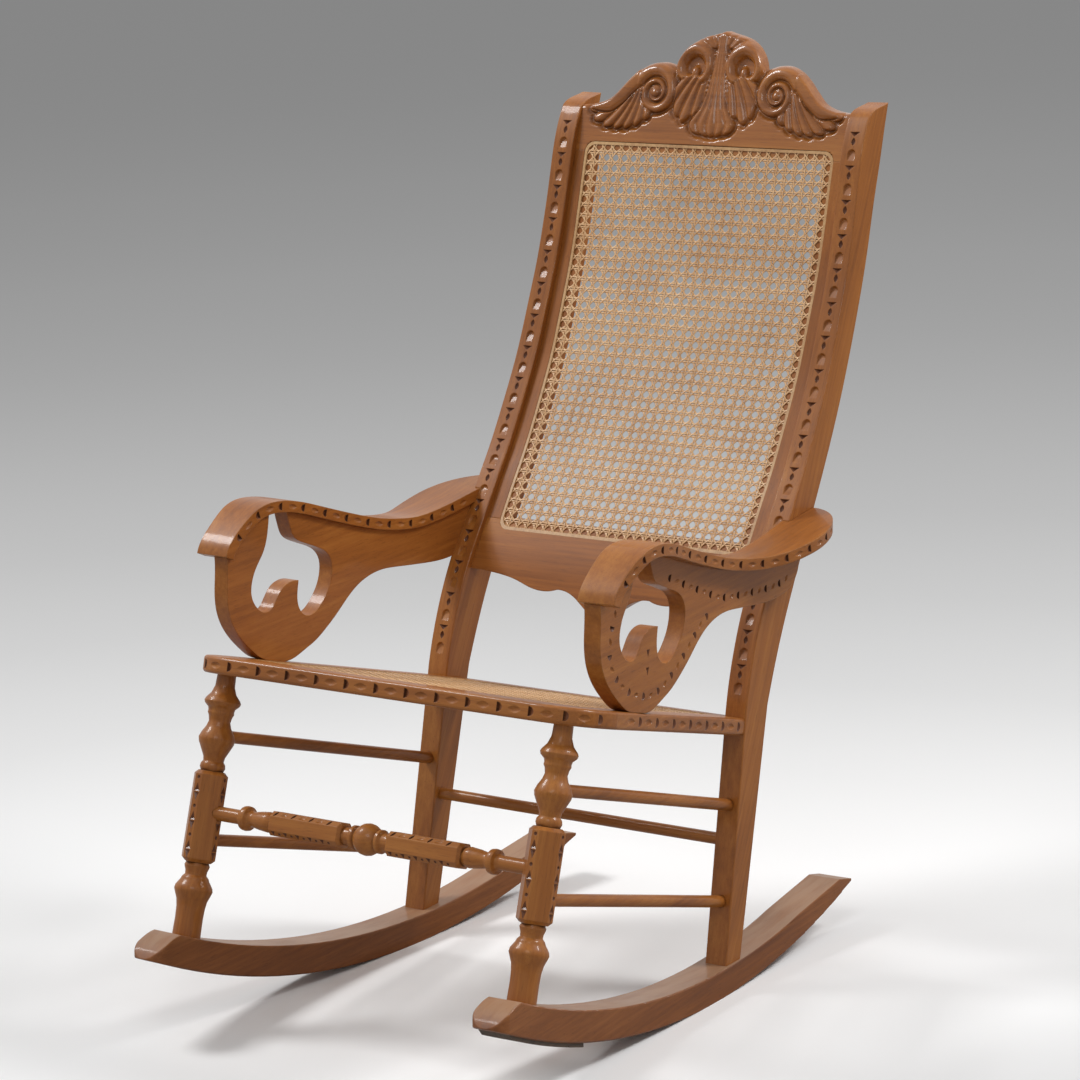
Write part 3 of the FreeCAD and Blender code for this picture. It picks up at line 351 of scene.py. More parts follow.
@dataclass(frozen=True)
class VarnishedWood(Finish):
    """Clear-varnished brown wood with fine streaks and dark pores; its arrises are lightened as wear and painted
    highlight, and its recesses get painted shade.
    """

    grain: Grain
    dark: Colour = (0.165, 0.048, 0.008, 1.0)
    middle: Colour = (0.315, 0.104, 0.017, 1.0)
    light: Colour = (0.450, 0.176, 0.034, 1.0)
    wear_and_highlight_tone: Colour = (0.580, 0.280, 0.085, 1.0)
    # Dark brown of the pores, also painted into the recesses as shade.
    pore_and_shade_brown: Colour = (0.036, 0.010, 0.003, 1.0)
    coat: float = 0.24
    roughness: float = 0.38
    pore_share: float = 0.35
    wear_and_highlight_share: float = 0.55
    recess_shade_share: float = 0.85
    recess_reach: float = 5.0
    arris_radius: float = 1.6
    top_sheen_tone: Colour = (0.400, 0.245, 0.150, 1.0)
    top_sheen_share: float = 0.0

    def paint(self, graph: ShaderGraph) -> None:
        """Lay the grain, then lighten its arrises as wear and painted highlight, pale its upward faces with
        painted sheen and scuffs, and paint shade into its recesses.

        Args:
            graph: The empty graph of the material.
        """
        turn = Vector(self.grain.value).rotation_difference(Vector((0, 0, 1))).to_euler()
        place = graph.turned(graph.place(), tuple(turn))
        figure = graph.noise(graph.scaled(place, (20, 20, 1.7)), 1.0, 3.0, 0.55, 0.6)
        streak = graph.noise(graph.scaled(place, (230, 230, 6)), 1.0, 4.0, 0.6)
        pores = graph.noise(graph.scaled(place, (1500, 1500, 60)), 1.0, 1.0).between(0.60, 0.74)
        tone = figure * 0.50 + streak * 0.34 + graph.noise(place, 9.0, 2.0) * 0.16
        colour = graph.ramp(tone, [(0.30, self.dark), (0.50, self.middle), (0.70, self.light)])
        colour = graph.mix(pores * self.pore_share, colour, self.pore_and_shade_brown)
        rounded = graph.out("ShaderNodeBevel", {"samples": 6}, {"Radius": self.arris_radius * MM})
        # Lighter arrises: partly wear, partly a painted highlight along the rounded edges.
        arris = (1.0 - graph.agreement(rounded, graph.facing())).between(0.03, 0.30)
        wear_and_highlight = arris * graph.noise(place, 45.0, 3.0).between(0.30, 0.62)
        colour = graph.mix(wear_and_highlight * self.wear_and_highlight_share, colour, self.wear_and_highlight_tone)
        # Painted sheen: faces that look upwards turn paler, broken up by scuffs.
        if self.top_sheen_share:
            upward = graph.out("ShaderNodeSeparateXYZ", {}, {0: graph.facing()}, "Z").between(0.72, 0.97)
            scuffed = graph.noise(graph.scaled(place, (60, 60, 8)), 1.0, 4.0, 0.6).between(0.25, 0.65)
            colour = graph.mix(upward * (scuffed * 0.5 + 0.5) * self.top_sheen_share, colour, self.top_sheen_tone)
        # Painted shade: places closed in by nearby shape are darkened towards the near-black brown; the varnish
        # there is also rougher and thinner.
        shaded_recess = graph.hidden(self.recess_reach, {"samples": 8, "only_local": True}).between(0.12, 0.75)
        graph.surface({
            "Base Color": graph.mix(shaded_recess * self.recess_shade_share, colour, self.pore_and_shade_brown),
            "Roughness": self.roughness + streak * 0.10 + shaded_recess * 0.22,
            "Coat Weight": self.coat * (1.0 - shaded_recess * 0.7),
            "Coat Roughness": 0.09,
            "Specular IOR Level": 0.22,
            "Normal": graph.out("ShaderNodeBump", {}, {"Strength": 0.10, "Distance": 0.4 * MM, "Normal": rounded,
                                                       "Height": streak * 0.6 - pores * 0.5})})


@dataclass(frozen=True)
class Cane(Finish):
    """Split cane: pale golden bark with fine lengthwise fibres, darker specks and a soft shine."""

    shade: Colour = (0.385, 0.180, 0.061, 1.0)
    body: Colour = (0.655, 0.375, 0.168, 1.0)
    bright: Colour = (0.830, 0.560, 0.305, 1.0)
    # Brown painted in as shade where the strands close each other in.
    pore_and_shade_brown: Colour = (0.160, 0.070, 0.022, 1.0)

    def paint(self, graph: ShaderGraph) -> None:
        """Lay the bark's tones and paint shade where the strands close each other in, as at the crossings.

        Args:
            graph: The empty graph of the material.
        """
        place = graph.place()
        fibre = graph.noise(place, 1400.0, 2.0)
        tone = graph.noise(place, 210.0, 3.0, 0.6) * 0.5 + graph.noise(place, 12.0, 2.0) * 0.3 + fibre * 0.2
        colour = graph.ramp(tone, [(0.32, self.shade), (0.50, self.body), (0.68, self.bright)])
        # Painted shade: places closed in by the strands, as at the crossings, are darkened.
        shaded_recess = graph.hidden(2.0, {"samples": 6}).between(0.25, 0.95)
        graph.surface({
            "Base Color": graph.mix(shaded_recess * 0.6, colour, self.pore_and_shade_brown),
            "Roughness": 0.38 + fibre * 0.18,
            "Coat Weight": 0.25,
            "Coat Roughness": 0.2,
            "Normal": graph.out("ShaderNodeBump", {}, {"Strength": 0.15, "Distance": 0.2 * MM, "Height": fibre})})


@dataclass(frozen=True)
class BareWood(Finish):
    """Unvarnished wood of the joint pins and of the worn strip under the rocker."""

    dark: Colour
    light: Colour
    roughness: float = 0.62

    def paint(self, graph: ShaderGraph) -> None:
        """Lay the streaks and the scuffs.

        Args:
            graph: The empty graph of the material.
        """
        place = graph.place()
        streak = graph.noise(graph.scaled(place, (260, 12, 260)), 1.0, 4.0, 0.6)
        scuff = graph.noise(place, 60.0, 4.0, 0.7)
        graph.surface({
            "Base Color": graph.ramp(streak * 0.6 + scuff * 0.4, [(0.34, self.dark), (0.66, self.light)]),
            "Roughness": self.roughness + scuff * 0.2,
            "Normal": graph.out("ShaderNodeBump", {}, {"Strength": 0.3, "Distance": 0.3 * MM, "Height": scuff})})


@dataclass(frozen=True)
class FloorPaint(Finish):
    """Floor paint: white round the chair and grey far from it to the eye, dimmer in the light it sheds."""

    bounce: float = 0.5
    reach: float = 10.0
    tones: tuple[Point, ...] = (
        (0.0, 0.98), (0.044, 0.96), (0.082, 0.83), (0.126, 0.71), (0.18, 0.635), (0.24, 0.605), (0.316, 0.62),
        (0.41, 0.635), (0.525, 0.675), (0.68, 0.685), (0.88, 0.66), (1.0, 0.655))

    def paint(self, graph: ShaderGraph) -> None:
        """Join the seen and the shedding paint.

        Args:
            graph: The empty graph of the material.
        """
        far = graph.out("ShaderNodeVectorMath", {"operation": "LENGTH"}, {0: graph.place()}, "Value")
        tones = graph.ramp(far / self.reach, [(spot, (tone, tone, tone, 1.0)) for spot, tone in self.tones])
        seen = graph.out("ShaderNodeBsdfDiffuse", {}, {"Color": tones})
        shed = graph.out("ShaderNodeBsdfDiffuse", {}, {"Color": (self.bounce, self.bounce, self.bounce, 1.0)})
        looked_at = graph.out("ShaderNodeLightPath", output="Is Camera Ray")
        both = graph.out("ShaderNodeMixShader", {}, {0: looked_at, 1: shed, 2: seen})
        graph.node("ShaderNodeOutputMaterial", {}, {"Surface": both})


WOOD_ACROSS = VarnishedWood("varnished_wood_across", Grain.ACROSS)
WOOD_ALONG = VarnishedWood("varnished_wood_along", Grain.ALONG)
WOOD_UPRIGHT = VarnishedWood("varnished_wood_upright", Grain.UPRIGHT)
WOOD_LEG = VarnishedWood("varnished_wood_leg", Grain.LEG)
WOOD_CARVED = VarnishedWood("varnished_wood_carved", Grain.ACROSS, recess_reach=7.0, coat=0.55,
                            roughness=0.30)
# A darker copy of the wood, painted into the deep chip cuts as shade.
WOOD_CHIP_SHADE = VarnishedWood("varnished_wood_chip_shade", Grain.ALONG, dark=(0.075, 0.020, 0.006, 1.0),
                          middle=(0.130, 0.038, 0.011, 1.0), light=(0.190, 0.064, 0.018, 1.0),
                          wear_and_highlight_tone=(0.280, 0.110, 0.034, 1.0), roughness=0.45, coat=0.3)
# The runners' upward faces get a painted sheen.
WOOD_RUNNER = VarnishedWood("varnished_wood_runner", Grain.ALONG, dark=(0.125, 0.036, 0.009, 1.0),
                            middle=(0.225, 0.072, 0.016, 1.0), light=(0.340, 0.125, 0.034, 1.0),
                            roughness=0.44, coat=0.25, top_sheen_share=0.8)
CANE = Cane("split_cane_bark")
SPLINE_REED = Cane("spline_reed", shade=(0.30, 0.140, 0.045, 1.0), body=(0.50, 0.280, 0.110, 1.0),
                   bright=(0.62, 0.390, 0.175, 1.0))
PIN_WOOD = BareWood("bare_pin_wood", (0.42, 0.27, 0.14, 1.0), (0.62, 0.45, 0.27, 1.0))
STRIP_WOOD = BareWood("worn_strip_wood", (0.045, 0.030, 0.022, 1.0), (0.12, 0.080, 0.055, 1.0))
FLOOR_PAINT = FloorPaint("studio_floor_paint")


def dress(node: str, finish: Finish) -> None:
    """Give a CAD node its finish.

    Args:
        node: The CAD node.
        finish: Its finish.
    """
    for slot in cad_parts[node].material_slots:
        slot.material = finish.material()
    LOG.info("dressed %s with %s", node, finish.name)


def stand(name: str, data: bpy.types.ID) -> bpy.types.Object:
    """Add an object to the scene.

    Args:
        name: Its name.
        data: Its mesh, lamp or camera.

    Returns:
        The new object.
    """
    thing = bpy.data.objects.new(name, data)
    bpy.context.scene.collection.objects.link(thing)
    return thing


def add_piece(name: str, mesh: bpy.types.Mesh, node: str) -> bpy.types.Object:
    """Add a finished mesh to the chair.

    Args:
        name: Name of the new piece.
        mesh: Its mesh, in the part's frame.
        node: The CAD node that it stands for.

    Returns:
        The new piece, which rides on the chair's one body.
    """
    piece = stand(name, mesh)
    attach(piece, "root")
    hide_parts(node)
    LOG.info("built %s (%d faces)", name, len(mesh.polygons))
    return piece


# Cane


@dataclass
class CaneField:
    """One caned opening, whose weave is laid out flat and then set on the chair."""

    name: str
    node: str
    width: float
    length: float
    pitch: float = 12.8

    @property
    def columns(self) -> int:
        """Return how many holes lie side by side."""
        return int(round(self.width / self.pitch))

    @property
    def rows(self) -> int:
        """Return how many holes lie one behind the other."""
        return int(round(self.length / self.pitch))

    @property
    def step(self) -> Point:
        """Return the distances between holes, across and along."""
        return self.width / self.columns, self.length / self.rows

    def inside(self, points: np.ndarray) -> np.ndarray:
        """Tell which weave points lie inside the opening."""
        raise NotImplementedError

    def surface(self, points: np.ndarray) -> np.ndarray:
        """Set weave points on the chair, in the part's frame."""
        raise NotImplementedError

    def build(self) -> bpy.types.Object:
        """Weave the opening."""
        return CaneWeave().build(self)


@dataclass
class CanedBack(CaneField):
    """The back's caned opening between its rails and stiles."""

    name: str = "back_cane_weave"
    node: str = "back_cane_panel"
    width: float = 2 * CANE_HALF_WIDTH
    length: float = CANE_END - CANE_START

    def inside(self, points: np.ndarray) -> np.ndarray:
        """Tell which weave points lie inside the rounded outline.

        Args:
            points: Rows of across, along and height.

        Returns:
            One truth value for each point.
        """
        straight = np.array([self.width, self.length]) / 2 - CANE_MARGIN - CANE_CORNER
        over = np.abs(points[:, :2] - (0.0, self.length / 2)) - straight
        return np.hypot(*over.clip(0).T) <= CANE_CORNER

    def surface(self, points: np.ndarray) -> np.ndarray:
        """Bend weave points on to the back's curved surface.

        Args:
            points: Rows of across, along and height.

        Returns:
            Rows of X, Y and Z in metres.
        """
        run = CANE_START + points[:, 1]
        bent = BACK_SURFACE.at(run) + BACK_SURFACE.normal(run) * (CANE_DEPTH - points[:, 2])[:, None]
        return STATIONS.world(np.column_stack([points[:, 0], bent]))


@dataclass
class CanedSeat(CaneField):
    """The seat's caned opening, which narrows towards the rear."""

    name: str = "seat_cane_weave"
    node: str = "seat_cane_panel"
    width: float = 455.8
    length: float = 320.0
    rear_width: float = 363.8
    front: float = 36.0

    def inside(self, points: np.ndarray) -> np.ndarray:
        """Tell which weave points lie inside the tapered outline.

        Args:
            points: Rows of across, along and height.

        Returns:
            One truth value for each point.
        """
        across, along = np.abs(points[:, 0]), points[:, 1]
        half = (self.width + (self.rear_width - self.width) * along / self.length) / 2
        return (across <= half - CANE_MARGIN) & (np.abs(along - self.length / 2) <= self.length / 2 - CANE_MARGIN)

    def surface(self, points: np.ndarray) -> np.ndarray:
        """Lay weave points on the tilted seat."""
        return STATIONS.world(on_seat(points[:, 0], self.front + points[:, 1], CANE_DEPTH - points[:, 2]))


@dataclass
class CaneWeave:
    """Six-way cane: paired uprights and crossings with two diagonals that leave eight-sided holes."""

    strand: float = 2.05
    thickness: float = 0.5
    pair_gap: float = 1.35
    pair_wave: float = 0.30
    diagonal_wave: float = 0.58
    flat_share: float = 0.45
    steps: int = 4

    def build(self, opening: CaneField) -> bpy.types.Object:
        """Weave one opening.

        Args:
            opening: The caned field.

        Returns:
            The woven sheet, which stands for the field's CAD node.
        """
        points, faces, count = [], [], 0
        strands = self._uprights(opening) + self._crossings(opening) + self._diagonals(opening)
        for line, side in strands:
            kept = self._clip(opening, line)
            if len(kept) < 2:
                continue
            grid = self._ribbon(kept, side)
            index = count + np.arange(grid.shape[0] * grid.shape[1]).reshape(grid.shape[:2])
            following = np.roll(index, -1, axis=1)
            quads = np.stack([index[:-1], following[:-1], following[1:], index[1:]], axis=-1)
            points.append(opening.surface(grid.reshape(-1, 3)))
            faces.append(quads.reshape(-1, 4))
            count += index.size
        mesh = bpy.data.meshes.new(opening.name)
        mesh.from_pydata(np.concatenate(points).tolist(), [], np.concatenate(faces).tolist())
        mesh.polygons.foreach_set("use_smooth", [True] * len(mesh.polygons))
        mesh.materials.append(CANE.material())
        mesh.update()
        return add_piece(opening.name, mesh, opening.node)

    def _uprights(self, opening: CaneField) -> list[tuple[np.ndarray, Point]]:
        """Lay the paired strands that run along the opening.

        Args:
            opening: The caned field.

        Returns:
            The middle line and the width's direction of each strand.
        """
        across, along = opening.step
        run = np.arange(0, self.steps * opening.rows + 1) / self.steps
        strands = []
        for column in range(opening.columns + 1):
            for twin in (-1, 1):
                place = column * across - opening.width / 2 + twin * self.pair_gap
                wave = twin * self.pair_wave * np.cos(2 * np.pi * run)
                strands.append((np.stack([np.full_like(run, place), run * along, wave], axis=-1), (1.0, 0.0)))
        return strands

    def _crossings(self, opening: CaneField) -> list[tuple[np.ndarray, Point]]:
        """Lay the paired strands that run across the opening, over and under the uprights.

        Args:
            opening: The caned field.

        Returns:
            The middle line and the width's direction of each strand.
        """
        across, along = opening.step
        stops = np.arange(opening.columns + 1)
        nudge = self.pair_gap / across
        run = np.sort(np.concatenate([stops - nudge, stops + nudge, stops[:-1] + 0.5]))
        run = run[(run >= 0) & (run <= opening.columns)]
        offset = (run + 0.5) % 1.0 - 0.5
        wave = -self.pair_wave * np.sign(np.round(offset, 6)) * (np.abs(offset) < 0.3)
        strands = []
        for row in range(opening.rows + 1):
            for twin in (-1, 1):
                place = np.full_like(run, row * along + twin * self.pair_gap)
                strands.append((np.stack([run * across - opening.width / 2, place, wave], axis=-1), (0.0, 1.0)))
        return strands

    def _diagonals(self, opening: CaneField) -> list[tuple[np.ndarray, Point]]:
        """Lay the two diagonals, which cross each other on the pairs between the holes.

        Args:
            opening: The caned field.

        Returns:
            The middle line and the width's direction of each strand.
        """
        across, along = opening.step
        run = np.arange(0, opening.rows * self.steps + 1) / self.steps
        strands = []
        for lean in (1, -1):
            side = np.array([along, -lean * across]) / math.hypot(along, across)
            wave = lean * self.diagonal_wave * np.cos(2 * np.pi * run)
            for start in range(-opening.rows - 1, opening.columns + opening.rows + 2):
                place = (start + 0.5 + lean * run) * across - opening.width / 2
                strands.append((np.stack([place, run * along, wave], axis=-1), tuple(side)))
        return strands

    def _ribbon(self, line: np.ndarray, side: Point) -> np.ndarray:
        """Return a flat strand with rounded edges.

        Args:
            line: Rows of across, along and height of the strand's middle.
            side: Direction of its width.

        Returns:
            The points of its section at each row of the line.
        """
        half, rim = self.strand / 2, self.thickness / 2
        flat = half * self.flat_share
        section = [(-half, 0.0), (-flat, rim), (flat, rim), (half, 0.0), (0.0, -rim)]
        return line[:, None] + np.array([(out * side[0], out * side[1], lift) for out, lift in section])

    @staticmethod
    def _clip(opening: CaneField, line: np.ndarray) -> np.ndarray:
        """Return the part of a strand inside the opening, with its ends on the opening's edge.

        Args:
            opening: The caned field.
            line: Rows of the strand's middle.

        Returns:
            The rows that are kept.
        """
        inside = opening.inside(line)
        if not inside.any():
            return line[:0]
        first = int(np.argmax(inside))
        last = len(inside) - 1 - int(np.argmax(inside[::-1]))
        kept = [line[first:last + 1]]
        if first > 0:
            kept.insert(0, CaneWeave._edge(opening, line[first], line[first - 1])[None])
        if last < len(line) - 1:
            kept.append(CaneWeave._edge(opening, line[last], line[last + 1])[None])
        return np.concatenate(kept)

    @staticmethod
    def _edge(opening: CaneField, near: np.ndarray, far: np.ndarray) -> np.ndarray:
        """Return the point between two others where the opening ends.

        Args:
            opening: The caned field.
            near: The point inside it.
            far: The point outside it.

        Returns:
            The point on its edge.
        """
        low, high = 0.0, 1.0
        for _ in range(10):
            middle = (low + high) / 2
            if opening.inside((near + (far - near) * middle)[None])[0]:
                low = middle
            else:
                high = middle
        return near + (far - near) * low


# Crest


def closed_sheet(name: str, front: np.ndarray, rear: np.ndarray) -> bpy.types.Mesh:
    """Return a closed body between two sheets of equal grids.

    Args:
        name: Name of the mesh.
        front: Grid of points of the face.
        rear: Grid of points of the back.

    Returns:
        The mesh, smooth on its face and with square walls.
    """
    columns, rows = front.shape[:2]
    step = columns * rows
    index = np.arange(step).reshape(columns, rows)
    far = index + step
    face = np.stack([index[:-1, :-1], index[1:, :-1], index[1:, 1:], index[:-1, 1:]], axis=-1).reshape(-1, 4)
    back = np.stack([far[:-1, :-1], far[:-1, 1:], far[1:, 1:], far[1:, :-1]], axis=-1).reshape(-1, 4)
    loop = np.concatenate([index[:-1, 0], index[-1, :-1], index[:0:-1, -1], index[0, :0:-1]])
    ahead = np.roll(loop, -1)
    wall = np.stack([ahead, loop, loop + step, ahead + step], axis=-1)
    mesh = bpy.data.meshes.new(name)
    points = np.concatenate([front.reshape(-1, 3), rear.reshape(-1, 3)])
    mesh.from_pydata(points.tolist(), [], np.concatenate([face, back, wall]).tolist())
    mesh.polygons.foreach_set("use_smooth", [True] * len(mesh.polygons))
    mesh.set_sharp_from_angle(angle=math.radians(50))
    mesh.update()
    return mesh


def sanded(grid: np.ndarray, rounds: int, keep_rim: bool) -> np.ndarray:
    """Return a grid softened towards its neighbours.

    Args:
        grid: The grid of values.
        rounds: How often it is softened.
        keep_rim: Whether the outer rows and columns stay as they are.

    Returns:
        The softened grid.
    """
    for _ in range(rounds):
        for axis in (0, 1):
            soft = 0.25 * np.roll(grid, -1, axis) + 0.5 * grid + 0.25 * np.roll(grid, 1, axis)
            if keep_rim:
                rim = (slice(None),) * axis + ([0, -1],)
                soft[rim] = grid[rim]
            grid = soft
    return grid


def polar(across: np.ndarray, height: np.ndarray, root: Point) -> tuple[np.ndarray, ...]:
    """Measure places from a motif's root.

    Args:
        across: Distances from the rail's middle.
        height: Heights on the rail.
        root: Where the motif starts.

    Returns:
        How far each place lies outwards, upwards and away from the root, and its angle in degrees.
    """
    over, up = across - root[0], height - root[1]
    return over, up, np.hypot(over, up), np.degrees(np.arctan2(up, over))


@dataclass
class CrestCarving:
    """The carved crest rail: two volutes with fluted leaves, two middle scrolls and a fluted stem.

    Each motif takes distances from the rail's middle and heights, and returns the height of its face over the
    plain strip together with the places that it covers.
    """

    foot: float = 911.0
    lip: float = 10.9
    lip_rows: int = 6
    half_width: float = 187.9
    post_face: float = 199.6
    rabbet: float = 2.2
    thickness: float = 15.0
    sunk: float = 4.5
    edge_round: float = 5.0
    columns: int = 420
    rows: int = 150
    volute: Point = (85.0, 982.0)
    volute_radius: float = 34.0
    scroll: Point = (34.0, 1009.0)
    leaf_root: Point = (104.0, 1010.0)
    tail_root: Point = (5.0, 1030.0)
    outline: tuple[Point, ...] = (
        (0, 1053.6), (9, 1051), (22, 1048), (36, 1043), (48, 1034), (57, 1021), (61, 1009))
    shoulder: tuple[Point, ...] = (
        (61, 1009), (68, 1012), (80, 1015.5), (94, 1015), (108, 1009.5), (122, 998.5), (134, 986), (147, 974),
        (165, 967), (178, 965), (190, 964.3))

    def build(self) -> bpy.types.Object:
        """Carve the rail.

        Returns:
            The carved rail, which stands for the CAD crest.
        """
        across, height = self._grid()
        relief = self._relief(np.abs(across), height)
        rim = ((self._top(np.abs(across)) - height) / self.edge_round).clip(0.0, 1.0)
        relief = relief - self.sunk * (1.0 - np.sqrt(1.0 - (1.0 - rim) ** 2))
        front = self._sheet(across, height, -relief)
        rear = self._sheet(across, height, np.full_like(relief, self.thickness))
        mesh = closed_sheet("crest_carving", front, rear)
        mesh.materials.append(WOOD_CARVED.material())
        return add_piece("crest_carving", mesh, "crest_rail")

    def _grid(self) -> tuple[np.ndarray, np.ndarray]:
        """Spread a grid over the rail's face, out to its posts and up to its outline.

        Returns:
            The across and the height stations of the grid.
        """
        spread = np.linspace(-1.0, 1.0, self.columns)[:, None]
        lip = self.foot + np.linspace(0.0, self.lip, self.lip_rows) * np.ones_like(spread)
        top = self._top(np.abs(spread * self.half_width))
        share = np.linspace(0.0, 1.0, self.rows - self.lip_rows)
        height = np.hstack([lip, CANE_TOP + share * (top - CANE_TOP)])
        return spread * (self.post_face - height * math.tan(POST_LEAN)), height

    def _top(self, across: np.ndarray) -> np.ndarray:
        """Return the outline's height above places on the rail."""
        points = np.concatenate([SmoothCurve(self.outline).samples, SmoothCurve(self.shoulder).samples[1:]])
        return np.interp(across, points[:, 0], points[:, 1])

    def _relief(self, across: np.ndarray, height: np.ndarray) -> np.ndarray:
        """Lay the motifs over the sunk ground and soften them as by sanding.

        Args:
            across: Distances from the rail's middle.
            height: Heights on the rail.

        Returns:
            How far the face stands proud of the plain strip.
        """
        motifs = (self._tails, self._leaf, self._arm, self._crown, self._stem, self._scroll, self._volute)
        face = -self.sunk * self._ground(motifs, across, height)
        for motif in motifs:
            shape, covered = motif(across, height)
            face = np.where(covered, shape, face)
        face = sanded(face, 2, True)
        caned = np.hypot((across - (CANE_HALF_WIDTH - CANE_CORNER)).clip(0),
                         (height - (CANE_TOP - CANE_CORNER)).clip(0)) <= CANE_CORNER
        return np.where(caned, -self.rabbet, face)

    @staticmethod
    def _ground(motifs: Sequence[Callable], across: np.ndarray, height: np.ndarray) -> np.ndarray:
        """Return 1 on the sunk ground round the motifs and 0 on the plain strip.

        Args:
            motifs: The methods that draw each motif.
            across: Distances from the rail's middle.
            height: Heights on the rail.

        Returns:
            The share of the ground's full depth at each place.
        """
        step, low, margin = 0.5, 900.0, 7
        over, up = np.meshgrid(np.arange(0.0, 200.0, step), np.arange(low, 1060.0, step), indexing="ij")
        covered = np.zeros(over.shape, bool)
        for motif in motifs:
            covered |= motif(over, up)[1]
        grown = covered.copy()
        for turn in np.radians(np.arange(0, 360, 20)):
            aside, above = round(math.cos(turn) * margin), round(math.sin(turn) * margin)
            grown |= np.roll(np.roll(covered, aside, 0), above, 1)
        soft = sanded(grown.astype(float), 5, False)
        column = np.clip(np.round(across / step).astype(int), 0, soft.shape[0] - 1)
        row = np.clip(np.round((height - low) / step).astype(int), 0, soft.shape[1] - 1)
        return soft[column, row]

    def _volute(self, across: np.ndarray, height: np.ndarray) -> Relief:
        """Draw a roll that winds inwards to a round eye, each turn half as wide as the one outside it.

        Args:
            across: Distances from the rail's middle.
            height: Heights on the rail.

        Returns:
            The motif's face and the places that it covers.
        """
        over, up, distance, angle = polar(across, height, self.volute)
        distance = distance.clip(0.3)
        turn = ((angle - 90.0) % 360.0) / 360.0
        wind = np.log2(self.volute_radius / distance) - turn
        share = wind - np.floor(wind)
        shape = -self.sunk + (7.5 - 0.9 * wind.clip(0)) * np.sin(np.pi * share ** 0.75) ** 0.7
        eye = -3.0 + 6.0 * np.sqrt((1.0 - (distance / 6.6) ** 2).clip(0))
        joined = (wind > -1.0) & (turn > 0.80) & (over < 26.0) & (up > -2)
        return np.where(distance < 6.5, eye, shape), (wind > 0.0) | joined

    def _leaf(self, across: np.ndarray, height: np.ndarray) -> Relief:
        """Draw the leaf that spreads from the volute in flutes with scalloped ends.

        Args:
            across: Distances from the rail's middle.
            height: Heights on the rail.

        Returns:
            The motif's face and the places that it covers.
        """
        over, _, distance, angle = polar(across, height, self.leaf_root)
        angle = angle + 16.0 * (1.0 - distance / 85.0)
        flute = np.interp(angle, (-120, -95, -84, -74, -65, -56, -46, -36, -20),
                          (-1.5, 0, 1, 2, 3, 4, 5, 6, 7.5))
        ridge = np.abs(np.cos(np.pi * flute))
        reach = np.interp(flute, (-1, 0, 1, 2, 3, 4, 5, 6, 7), (58, 62, 69, 75, 80, 86, 91, 89, 84))
        reach = reach - 5.0 * (1.0 - ridge)
        fade = ((reach - distance) / 5.0).clip(0.0, 1.0)
        shape = -self.sunk + (2.0 + 4.6 * ridge ** 0.6) * np.sqrt(fade) * (0.75 + 0.25 * distance / 80.0)
        return shape, (distance < reach) & (flute > -0.6) & (over > -14)

    def _arm(self, across: np.ndarray, height: np.ndarray) -> Relief:
        """Draw the smooth arm that runs from the volute along the rail's shoulder, above the leaf.

        Args:
            across: Distances from the rail's middle.
            height: Heights on the rail.

        Returns:
            The motif's face and the places that it covers.
        """
        width = np.interp(across, (86, 104, 126, 146, 164, 174), (12, 22, 25, 18, 10, 6))
        share = (self._top(across) - height) / width
        shape = -self.sunk + 7.4 * np.sqrt((1.0 - share.clip(0.0, 1.0) ** 3).clip(0.0))
        return shape, (share < 1.0) & (across > 86.0) & (across < 172.0)

    def _tails(self, across: np.ndarray, height: np.ndarray) -> Relief:
        """Draw the strands that flow from the middle scroll down and outwards.

        Args:
            across: Distances from the rail's middle.
            height: Heights on the rail.

        Returns:
            The motif's face and the places that it covers.
        """
        _, _, distance, angle = polar(across, height, self.tail_root)
        angle = angle - 12.0 * (1.0 - distance / 85.0)
        ridge = np.abs(np.cos(np.pi * (angle + 86.0) / 10.5))
        reach = np.interp(angle, (-90, -72, -64, -58, -52, -46, -40), (70, 82, 92, 92, 86, 84, 70))
        reach = reach - 4.0 * (1.0 - ridge)
        fade = ((reach - distance) / 4.0).clip(0.0, 1.0)
        shape = -self.sunk + (1.5 + 4.8 * ridge ** 0.6) * np.sqrt(fade)
        return shape, (distance < reach) & (angle > -92) & (angle < -40)

    @staticmethod
    def _stem(across: np.ndarray, height: np.ndarray) -> Relief:
        """Draw the fluted stem that widens to a fan above the cane.

        Args:
            across: Distances from the rail's middle.
            height: Heights on the rail.

        Returns:
            The motif's face and the places that it covers.
        """
        half = np.interp(height, (930, 936, 941, 948, 955, 965, 980, 997, 1026, 1044),
                         (14, 26, 31, 33, 27.5, 20, 14.5, 11.5, 8.5, 7.0))
        share = across / half
        ridge = np.abs(np.cos(np.pi * share * 2.5))
        floor = 932.5 + 4.0 * share ** 2 - 1.8 * (ridge - 0.5)
        fade = np.minimum((height - floor) / 4.0, (1.0 - share) * half / 3.0).clip(0.0, 1.0)
        swell = 1.2 * np.exp(-((height - 952.0) / 16.0) ** 2)
        shape = -4.8 + (2.6 + 3.2 * ridge ** 0.6 + swell) * np.sqrt(fade)
        return shape, (share < 1.0) & (height > floor)

    @staticmethod
    def _crown(across: np.ndarray, height: np.ndarray) -> Relief:
        """Draw the small shell between and above the middle scrolls."""
        ridge = np.abs(np.cos(np.pi * np.degrees(np.arctan2(across, height - 1022.0)) / 22.0))
        return -3.6 + 3.4 * ridge ** 0.6, (height > 1034.0) & (across < 40.0)

